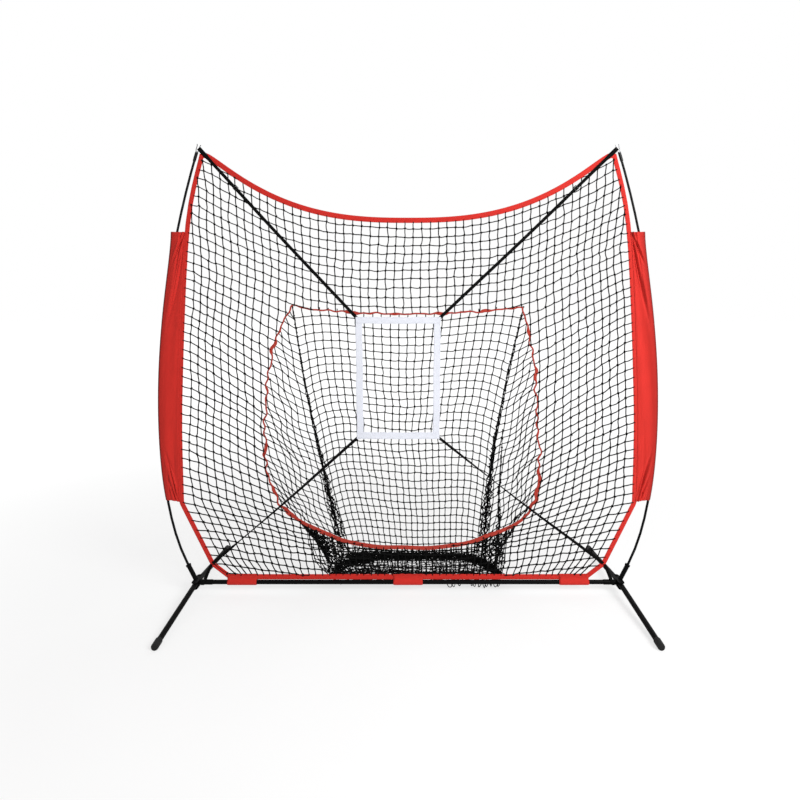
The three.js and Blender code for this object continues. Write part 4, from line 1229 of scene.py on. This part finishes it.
    @staticmethod
    def loops(draw):
        """Slack meshes at the net's lower edge, which hang in loops behind the base bar."""
        runs, turn = [], np.linspace(-1, 1, 8)
        for middle in HANGING_LOOPS:
            wide, low = draw.uniform(0.009, 0.016), draw.uniform(0.01, 0.018)
            x = middle + wide * turn + draw.normal(size=8) * 0.0025
            z = low + 0.05 * np.abs(turn) ** 2.4 + draw.normal(size=8) * 0.0015
            runs.append(upright(x, 0.03, z))
        return runs

    @staticmethod
    def bunch(line, widths, strands, draw):
        """Netting drawn together along a line, wide and high by widths (two for each point)."""
        count = max(8, int(length_of(line) / 0.021))
        path = resampled(rounded_through(line, 60), count=count)
        share = np.linspace(0, 1, count)
        wide, high = looked_up(share, np.linspace(0, 1, len(widths)), widths).T
        along = unit(np.gradient(path, axis=0))
        level = unit(np.cross(along, [0.12, 0.2, 1.0]))
        raised = np.cross(level, along)
        grid = np.zeros((strands, count, 3))
        for k in range(strands):
            angle = draw.uniform(0, 2 * np.pi) + 2.5 * draw.uniform(-1, 1) * share
            out = math.sqrt(draw.uniform(0.02, 1)) * np.ones(count)
            sway = draw.normal(size=(count, 3)) * 0.0045
            grid[k] = path + level * (wide * out * np.cos(angle))[:, None]
            grid[k] += raised * (high * out * np.sin(angle))[:, None] + sway
        kept_within(grid, 0.006, HEAP_BACK, HEAP_LOW)
        runs = list(grid)
        order = np.argsort(grid[:, count // 2, 2])
        for one, other in zip(order[:-1], order[1:]):
            near = np.linalg.norm(grid[one] - grid[other], axis=1)
            close = [j for j in range(1, count, 2) if near[j] < 0.03]
            runs += [np.array([grid[one, j], grid[other, j]]) for j in close]
        return runs, grid.reshape(-1, 3)


class PRACTICE_OT_trim(bpy.types.Operator):
    """Sew the wavy tape round the pocket's mouth"""

    bl_idname = "practice.trim"
    bl_label = "Mouth trim"

    def execute(self, context):
        loop = resampled(MOUTH, spacing=0.0045)
        out, total = outward(loop), length_of(loop)
        reach = np.linspace(0, total, len(loop))
        low = 1 - smooth_step(loop[:, 1], 0.26, 0.5)
        turned = waves(reach, 12, (0.42, 0.19, 0.09), 1.0) * (1 - low)
        patch = np.clip(waves(reach, 14, (0.61, 0.27, 0.11), 2.2), 0, 1) ** 2 * (1 - low)
        for x, z, size in ((-0.6, 0.41, 0.035), (0.645, 0.5, 0.07)):
            away = ((loop[:, 0] - x) ** 2 + (loop[:, 1] - z) ** 2) / size**2
            patch = np.maximum(patch, 1.3 * np.exp(-(away**2)))
        half = 0.0041 + 0.0064 * low + 0.0045 * patch
        angle = turned * 0.9
        path = upright(loop[:, 0], 0.0003 * turned, loop[:, 1])
        flat = np.cos(angle)
        normal = unit(upright(out[:, 0] * flat, 0.25 * np.sin(angle), out[:, 1] * flat))

        def ripple(width, v):
            groove = -0.0006 * np.exp(-((np.abs(width) - 0.6) ** 2) / 0.02)
            return groove + 0.0003 * np.sin(v * total / 0.011 * 2 * np.pi)

        mesh = tape("mouth_tape", path, normal, half, 0.0017, across=12, ripple=ripple)
        through = unit(np.cross(np.gradient(path, axis=0), normal))
        rows = [
            path + normal * (half * share)[:, None] + through * 0.0016 * face
            for share in (0.55, -0.55)
            for face in (-1, 1)
        ]
        finishes = ["dark_red_fabric", "red_thread"]
        thread = stitches(rows, 0.006)
        sewn_piece("mouth_tape", [mesh], thread, finishes, "mouth_trim")
        return {"FINISHED"}


def red_piece(name, parts, thread, replaces):
    """A piece of red tape, sewn with red thread."""
    return sewn_piece(name, parts, thread, ["red_tape", "red_thread"], replaces)


def binding_piece(name, line, low, high, node_name, pitch):
    """A folded binding beside a flat line: from low to high across its left normal."""
    line = softened(resampled(line, spacing=0.006), 3)
    out = outward(line)
    middle = line + out * ((low + high) / 2)
    half = (high - low) / 2
    path, normal = (upright(flat[:, 0], 0, flat[:, 1]) for flat in (middle, out))
    total, sewn = length_of(path), -0.62

    def ripple(width, v):
        groove = -0.0007 * np.exp(-((width - sewn) ** 2) / 0.012)
        pucker = 0.00022 * np.sin(v * total / 0.0145 * 2 * np.pi) * (1 - width) / 2
        return groove + pucker + 0.0003 * np.maximum(width, 0)

    mesh = tape(name, path, normal, half, BINDING_HALF - 0.0003, across=18, ripple=ripple)
    lift = np.array([0, BINDING_HALF - 0.0006, 0])
    rows = [path + normal * (half * sewn) + face * lift for face in (-1, 1)]
    red_piece(name, [mesh], stitches(rows, pitch), node_name)


class PRACTICE_OT_bindings(bpy.types.Operator):
    """Fold and sew the bindings along the net's four edges"""

    bl_idname = "practice.bindings"
    bl_label = "Bindings"

    def execute(self, context):
        pitch = context.scene.practice_fabric.stitch
        reach = CORNER_X + 0.012
        x = np.linspace(-reach, reach, 200)
        pulled = 0.02 * np.exp((np.abs(x) - reach) / 0.045)
        top = np.stack([x, top_edge(np.clip(x, -CORNER_X, CORNER_X)) - pulled], axis=1)
        wide = BINDING_WIDTH + 0.0022
        binding_piece("top_edge_binding", top, -0.001, wide, "top_binding", pitch)
        x, z = BOTTOM_CORNER
        bottom = np.stack([np.linspace(x, -x, 40), np.full(40, z)], axis=1)
        binding_piece("bottom_edge_binding", bottom, 0.0, 0.0272, "bottom_binding", pitch)
        line = SIDE_EDGE.copy()
        line[0] = line[0] + (line[1] - line[0]) * 0.05
        for word, side in SIDES:
            edge = line if side > 0 else mirrored(line)
            binding_piece(f"{word}_edge_binding", edge, 0, BINDING_WIDTH, f"{word}_binding", pitch)
        return {"FINISHED"}


# Creases of a sleeve: from its hem (0) or its top (1), where each starts and ends across it,
# and its reach, width and depth.
CREASES = (
    (1, 0.06, 0.74, 0.12, 0.065, 1.7),
    (1, 0.0, 0.6, 0.3, 0.08, 1.5),
    (1, 0.4, 0.55, 0.2, 0.05, 0.6),
    (0, 0.05, 0.62, 0.17, 0.07, 1.5),
    (0, 0.28, 0.66, 0.09, 0.05, 0.9),
)


def fold_lines(across, height, seed):
    """The height of a sleeve's creases: long ones from its top, short ones from its hem."""
    draw = np.random.default_rng(seed)
    up = (height - SLEEVE_BOTTOM) / SLEEVE_SPAN
    total = np.zeros_like(up)
    for foot, start, end, reach, width, depth in CREASES:
        far = np.maximum(np.abs(up - foot), 0) / reach
        line = start + draw.uniform(-0.04, 0.04) + (end - start) * np.minimum(far, 1.3)
        dent = np.exp(-(((across - line - 1.6 * width) / (1.3 * width)) ** 2))
        shape = np.exp(-(((across - line) / width) ** 2)) - 0.6 * dent
        total -= depth * shape * np.exp(-(far**3))
    for _ in range(2):
        start, width = draw.uniform(0.05, 0.75), draw.uniform(0.04, 0.08)
        far = up / draw.uniform(0.06, 0.2)
        line = start + 0.1 * draw.uniform(-1, 1) * far
        total -= draw.uniform(0.4, 0.9) * np.exp(-(((across - line) / width) ** 2) - far**2)
    return total + 0.3 * np.sin(across * 7 + up * 9 + draw.uniform(0, 6)) * np.sin(np.pi * up)


def sleeve_pattern():
    """The sleeve's cloth laid flat, from the pole's and the net's lines: its width and length."""
    heights = np.linspace(SLEEVE_BOTTOM, SLEEVE_TOP, 60)
    to_pole = pole_x(heights) - binding_x(heights) + SLEEVE_LAP
    width = 2 * float(np.mean(to_pole)) + math.pi * SLEEVE_RADIUS
    return width, length_of(np.stack([pole_x(heights), heights], axis=1))


class PRACTICE_OT_sleeves(bpy.types.Operator):
    """Sew the two pole sleeves, with their folds, hems and seams"""

    bl_idname = "practice.sleeves"
    bl_label = "Pole sleeves"

    def execute(self, context):
        settings = context.scene.practice_fabric
        for word, side in SIDES:
            self.sleeve(settings, word, side)
        return {"FINISHED"}

    def sleeve(self, settings, word, side):
        """Cloth from the net's edge round the pole and back, as u from 0 to 1 runs over it."""
        name, hem = f"{word}_sleeve", settings.hem
        quarter, flat_end = np.pi / 2, 0.82  # beyond flat_end each face turns round the pole

        def place(u, v):
            height = SLEEVE_BOTTOM + SLEEVE_SPAN * v
            pole, inner = pole_x(height), binding_x(height) - SLEEVE_LAP
            front = u < 0.5
            across = np.where(front, u * 2, (1 - u) * 2)
            on_flat = across < flat_end
            flat_part = np.clip(across / flat_end, 0, 1)
            turn = np.clip((across - flat_end) / (1 - flat_end), 0, 1) * quarter * 1.25
            start = pole - SLEEVE_RADIUS * math.sin(quarter * 0.25)
            round_x = pole - SLEEVE_RADIUS * np.cos(quarter * 0.75 + turn)
            spread = np.exp(-(SLEEVE_TOP - height) / 0.12)
            x = np.where(on_flat, inner + (start - inner) * flat_part, round_x)
            x = x + 0.021 * spread * smooth_step(across, 0.2, 0.9)
            lift = SLEEVE_RADIUS * math.sin(quarter * 0.75)
            full = smooth_step(flat_part, 0.35 - 0.15 * spread, 1.0 - 0.45 * spread)
            belly = BINDING_HALF + 0.0006 + (lift - BINDING_HALF - 0.0006) * full
            round_lift = SLEEVE_RADIUS * np.sin(quarter * 0.75 + turn)
            deep = np.where(on_flat, belly, np.maximum(round_lift, 0))
            creases = (fold_lines(across, height, seed + side) for seed in (81, 91))
            free = smooth_step(flat_part, 0.04, 0.3) * (1 - smooth_step(across, 0.62, 0.82))
            deep = deep + settings.folds * 1.4 * np.where(front, *creases) * free
            near = np.minimum(height - SLEEVE_BOTTOM, SLEEVE_TOP - height)
            on_hem = 1 - smooth_step(near, hem - 0.0015, hem + 0.0015)
            deep = deep + HEM_LIFT * on_hem * (deep > 0.001)
            end_sag = 0.0015 * np.sin(np.pi * np.clip(across, 0, 1)) * np.exp(-near / 0.03)
            tilt = 0.013 * across * np.exp(-(height - SLEEVE_BOTTOM) / 0.06)
            z = height + tilt + np.where(height > 1, -end_sag, end_sag)
            return upright(x * side, np.where(front, -deep, deep), z)

        solid = thickened(skin(name, 68, 200, place, (0.24, SLEEVE_SPAN)), settings.cloth)
        thread = stitches(self.seam_lines(place, hem), settings.stitch)
        finishes, replaced = ["red_fabric", "red_thread"], f"{word}_pole_sleeve"
        sleeve = sewn_piece(name, [solid], thread, finishes, replaced)
        tuple(round(side_length, 3) for side_length in sleeve_pattern())

    @staticmethod
    def seam_lines(place, hem):
        """Where the thread shows: round both hems, and up beside the net on both faces."""
        inset = hem * 0.85 / SLEEVE_SPAN
        ways = [
            (np.linspace(low, high, 60), np.full(60, at))
            for at in (inset, 1 - inset)
            for low, high in ((0.01, 0.4), (0.6, 0.99))
        ]
        ways += [(np.full(300, u), np.linspace(0.002, 0.998, 300)) for u in (0.03, 0.97)]
        rows = [place(u, v) for u, v in ways]
        for row, (u, _) in zip(rows, ways):
            row[:, 1] += np.where(u < 0.5, -HEM_LIFT, HEM_LIFT)
        return rows


def wrapped_path(radius, gap, wall, close_at, end, count=80):
    """Side view of webbing round a rod, up one layer and down the other, as through and along."""
    half = gap / 2 + wall / 2
    middle = radius + wall / 2
    start = math.atan2(half, close_at) + math.acos(middle / math.hypot(half, close_at))
    angle = np.linspace(start, 2 * math.pi - start, 60)
    turn = np.stack([middle * np.sin(angle), middle * np.cos(angle)], axis=1)
    line = np.vstack([[[half, end], [half, close_at]], turn, [[-half, close_at], [-half, end]]])
    return softened(resampled(line, count=count), 2)


class PRACTICE_OT_tabs(bpy.types.Operator):
    """Wrap the three hook-and-loop tabs round the base bar"""

    bl_idname = "practice.tabs"
    bl_label = "Bar tabs"

    def execute(self, context):
        for word, x in (("left", -TAB_X), ("middle", 0.0), ("right", TAB_X)):
            self.tab(context.scene.practice_fabric.stitch, f"{word}_bar_tab", x)
        return {"FINISHED"}

    def tab(self, pitch, name, x):
        """A wrapped layer that holds the net to the bar, and the flap that closes over it."""
        line = wrapped_path(BAR_RADIUS + 0.0003, 0.0046, 0.0016, 0.019, 0.0405)
        flap = wrapped_path(BAR_RADIUS + 0.0021, 0.0084, 0.0014, 0.021, 0.034)
        flap = flap[: int(len(flap) * 0.62)]
        layers = ((line, TAB_HALF, 0.0014), (flap, TAB_HALF - 0.004, 0.0012))
        parts, rows = [], []
        for index, (path, width, thick) in enumerate(layers):

            def place(u, v):
                through, along = looked_up(v, np.linspace(0, 1, len(path)), path).T
                wide = (u - 0.5) * 2
                wave = 0.0005 * np.sin(wide * 9 + v * 13 + x * 7) + 0.0004 * np.sin(wide * 23 + 1)
                grow = 1 + 0.025 * index + wave * 18
                beside = x + wide * width * (1 - 0.012 * np.sin(v * 9 + x))
                return upright(beside, -through * grow, HUB[2] + along)

            cloth_skin = skin(name, 40, 70, place, (2 * width, length_of(path)))
            parts.append(thickened(cloth_skin, thick))
            rows = rows or self.sewn(place)
        red_piece(f"{name}_wrap", parts, stitches(rows, pitch), name)

    @staticmethod
    def sewn(place):
        """Where the thread shows: in two rows at each end of the wrapped cloth."""
        rows = []
        for v in (0.03, 0.09, 0.91, 0.97):
            points = place(np.linspace(0.03, 0.97, 80), np.full(80, v))
            points[:, 1] += -HEM_LIFT if v < 0.5 else HEM_LIFT
            rows.append(points)
        return rows


# How far from a strap's middle its rows of stitches lie.
STRAP_ROWS = (-0.0055, -0.002, 0.002, 0.0055)
TIE_ROWS = (-0.005, 0.0, 0.005)


def strap_rows(path, widths, offsets, lift=-WEB_THREAD_LIFT):
    """Rows of stitches on a part of a strap, by how far from its middle they lie."""
    return [path + widths * offset + np.array([0, lift, 0]) for offset in offsets]


def strap_piece(name, parts, rows, replaces):
    """A piece of black webbing, sewn along rows of stitches."""
    finishes, thread = ["black_webbing", "netting"], stitches(rows, 0.0036)
    sewn_piece(name, parts, thread, finishes, replaces)


class PRACTICE_OT_straps(bpy.types.Operator):
    """Stretch the four straps from the net's corners to the strike zone"""

    bl_idname = "practice.straps"
    bl_label = "Straps"

    def execute(self, context):
        low = ZONE_HEIGHTS[0] + ZONE_WEB / 2
        eye = np.array(KINK) + outward(SIDE_EDGE)[-2] * (BINDING_WIDTH / 2 - 0.003)
        for word, side in SIDES:
            corner, high = zone_corner(side)
            top = STRAP_TOP * np.array([side, 1, 1])
            self.upper(word, top, np.array([corner, STRAP_LAYER, high]))
            start = np.array([corner - side * ZONE_LEAN, STRAP_LAYER, low])
            self.lower(word, start, np.array([eye[0] * side, STRAP_LAYER, eye[1]]), side)
        return {"FINISHED"}

    @staticmethod
    def across(path):
        """The ways across and along a strap at each of its points."""
        along = unit(np.gradient(path, axis=0))
        return upright(-along[:, 2], 0, along[:, 0]), along

    def upper(self, word, top, end):
        """A strap from a pole's prong to the strike zone's upper corner."""
        name = f"{word}_upper_webbing"
        share = np.linspace(0, 1, 220)[:, None]
        path = top + (end - top) * share
        path[:, 2] -= 0.012 * np.sin(np.pi * share[:, 0]) ** 2 * 0.4
        widths, along = self.across(path)
        mesh = strap_mesh(name, path, widths, WEB_WIDTH / 2 + 0.0007)
        wrap = self.hook_loop(top, along[0], widths[0])
        rows = strap_rows(path[4:9], widths[4:9], STRAP_ROWS)
        strap_piece(name, [mesh, wrap], rows, f"{word}_upper_strap")

    @staticmethod
    def hook_loop(top, along, across):
        """The strap's end folded round the steel prong and sewn back behind."""
        radius = 0.0045
        angle = np.linspace(-0.5 * np.pi, 0.5 * np.pi, 24)[:, None]
        turn = [top[0], -0.0006, top[2]] - along * (radius * np.cos(angle))
        turn += np.array([0, 1, 0]) * (radius * np.sin(angle))
        back = [top[0], FOLD_LAYER, top[2]] + along * np.array([[0.022], [0.05], [0.086]])
        path = softened(resampled(np.vstack([turn, back]), count=48), 2)
        widths = np.repeat(across[None], len(path), axis=0)
        narrower = smooth_step(np.linspace(0, 1, len(path)), 0.55, 1)
        half = WEB_WIDTH / 2 + 0.0036 - 0.003 * narrower
        return strap_mesh("hook_loop", path, widths, half, 0.0008)

    def lower(self, word, start, end, side):
        """A strap from the zone's lower corner to the net's, with a twist on its way."""
        name = f"{word}_lower_webbing"
        share = np.linspace(0, 1, 260)
        path = start + (end - start) * share[:, None]
        path[:, 2] -= 0.006 * np.sin(np.pi * share) ** 2
        if side < 0:
            turn = np.clip(share / 0.74, 0, 1) * (1 - smooth_step(share, 0.8, 0.94))
        else:
            turn = np.interp(share, (0, 0.34, 0.92), (0.1, 0.9, 0))
        path[:, 1] -= 0.0095 * smooth_step(turn, 0, 0.6)
        widths, along = self.across(path)
        angle = (turn * 1.36)[:, None]
        widths = widths * np.cos(angle) + np.cross(along, widths) * np.sin(angle)
        mesh = strap_mesh(name, path, widths, WEB_WIDTH / 2)
        fold = upright(path[-14:, 0], FOLD_LAYER, path[-14:, 2])
        tail = strap_mesh("tail", fold, widths[-14:], WEB_WIDTH / 2 - 0.0004, 0.0008)
        rows = strap_rows(path[-9:-3], widths[-9:-3], STRAP_ROWS)
        strap_piece(name, [mesh, tail], rows, f"{word}_lower_strap")


class PRACTICE_OT_zone(bpy.types.Operator):
    """Lap and sew the strike zone's four strips of white webbing"""

    bl_idname = "practice.zone"
    bl_label = "Strike zone"

    def execute(self, context):
        left, right = ZONE_MIDDLE - ZONE_WIDTH / 2, ZONE_MIDDLE + ZONE_WIDTH / 2
        low, high = ZONE_HEIGHTS
        half, lean = ZONE_WEB / 2, ZONE_LEAN
        under, over = -0.00705, -0.0081
        parts, rows = [], []
        for start, end, layer, seed in (
            ((left + half + lean, low), (left + half, high), under, 1),
            ((right - half - lean, low), (right - half, high), under, 2),
            ((left, high - half), (right, high - half), over, 3),
            ((left + lean, low + half), (right - lean, low + half), over, 4),
        ):
            start, end = np.array(start), np.array(end)
            share = np.linspace(0, 1, 130)
            way = unit(end - start)
            side = np.array([-way[1], way[0]])
            reach = share * np.linalg.norm(end - start)
            flat = start + (end - start) * share[:, None]
            flat = flat + side * waves(reach, seed, (0.31, 0.13), 0.0016)[:, None]
            path = upright(flat[:, 0], layer, flat[:, 1])
            normal = np.repeat([[side[0], 0, side[1]]], len(path), axis=0)
            width = half + waves(reach, seed + 10, (0.09, 0.05), 0.0004)
            parts.append(tape("zone", path, normal, width, 0.0006, across=20, square=0.3))
            rows += strap_rows(path, normal * half, (-0.78, 0.78), -0.0007)
        box = np.array([(-1, -1), (1, -1), (1, 1), (-1, 1), (-1, -1), (1, 1), (-1, 1), (1, -1)])
        for x, inward in ((left + half, lean), (right - half, -lean)):
            for z, shift in ((low + half, inward), (high - half, 0)):
                points = np.array([x + shift, z]) + box * half * 0.72
                rows.append(upright(points[:, 0], -0.0089, points[:, 1]))
        thread = stitches(rows, 0.0044, thickness=0.0008)
        finishes = ["white_webbing", "white_thread"]
        sewn_piece("zone_webbing", parts, thread, finishes, "strike_zone")
        return {"FINISHED"}


class PRACTICE_OT_ties(bpy.types.Operator):
    """Wrap the corner ties round the hubs' stubs"""

    bl_idname = "practice.ties"
    bl_label = "Corner ties"

    def execute(self, context):
        end = np.array(KINK) + outward(SIDE_EDGE)[-2] * (BINDING_WIDTH - TIE_ON_BINDING)
        rise = end[1] - HUB[2]
        lean = (TIE_X - end[0]) / rise
        line = wrapped_path(STUB_RADIUS + 0.0003, 0.0046, 0.002, 0.03, rise, 120)
        for word, side in SIDES:
            name = f"{word}_tie_webbing"
            path = upright((TIE_X - lean * line[:, 1]) * side, line[:, 0], HUB[2] + line[:, 1])
            widths = np.repeat([[1.0, 0, 0]], len(path), axis=0)
            mesh = strap_mesh(name, path, widths, WEB_WIDTH / 2 * math.hypot(1, lean))
            rows = []
            for part in (path[:9], path[-9:]):
                lift = np.sign(part[0, 1]) * WEB_THREAD_LIFT
                rows += strap_rows(part, widths[:9], TIE_ROWS, lift)
            strap_piece(name, [mesh], rows, f"{word}_corner_tie")
        return {"FINISHED"}


class PRACTICE_PT_pieces(bpy.types.Panel):
    """Lists the steps that build the practice net, and their settings"""

    bl_label = "Practice net"
    bl_idname = "PRACTICE_PT_pieces"
    bl_space_type = "VIEW_3D"
    bl_region_type = "UI"
    bl_category = "Practice net"

    def draw(self, context):
        for step in STEPS:
            self.layout.operator(step.bl_idname)
        for name in SETTINGS:
            group = getattr(context.scene, name)
            for key in group.bl_rna.properties.keys():
                if key not in ("rna_type", "name"):
                    self.layout.prop(group, key)


STEPS = (
    PRACTICE_OT_stage,
    PRACTICE_OT_finishes,
    PRACTICE_OT_netting,
    PRACTICE_OT_pocket,
    PRACTICE_OT_trim,
    PRACTICE_OT_bindings,
    PRACTICE_OT_sleeves,
    PRACTICE_OT_tabs,
    PRACTICE_OT_straps,
    PRACTICE_OT_zone,
    PRACTICE_OT_ties,
)
SETTINGS = {
    "practice_netting": PracticeNetting,
    "practice_fabric": PracticeFabric,
    "practice_colours": PracticeColours,
    "practice_stage": PracticeStage,
}


def register():
    for kind in (*SETTINGS.values(), *STEPS, PRACTICE_PT_pieces):
        bpy.utils.register_class(kind)
    for name, kind in SETTINGS.items():
        setattr(bpy.types.Scene, name, PointerProperty(type=kind))


def unregister():
    for name in SETTINGS:
        delattr(bpy.types.Scene, name)
    for kind in reversed((*SETTINGS.values(), *STEPS, PRACTICE_PT_pieces)):
        bpy.utils.unregister_class(kind)


def main():
    register()
    for step in STEPS:
        name = step.bl_idname.split(".")[1]
        getattr(bpy.ops.practice, name)()


if __name__ == "__main__":
    main()
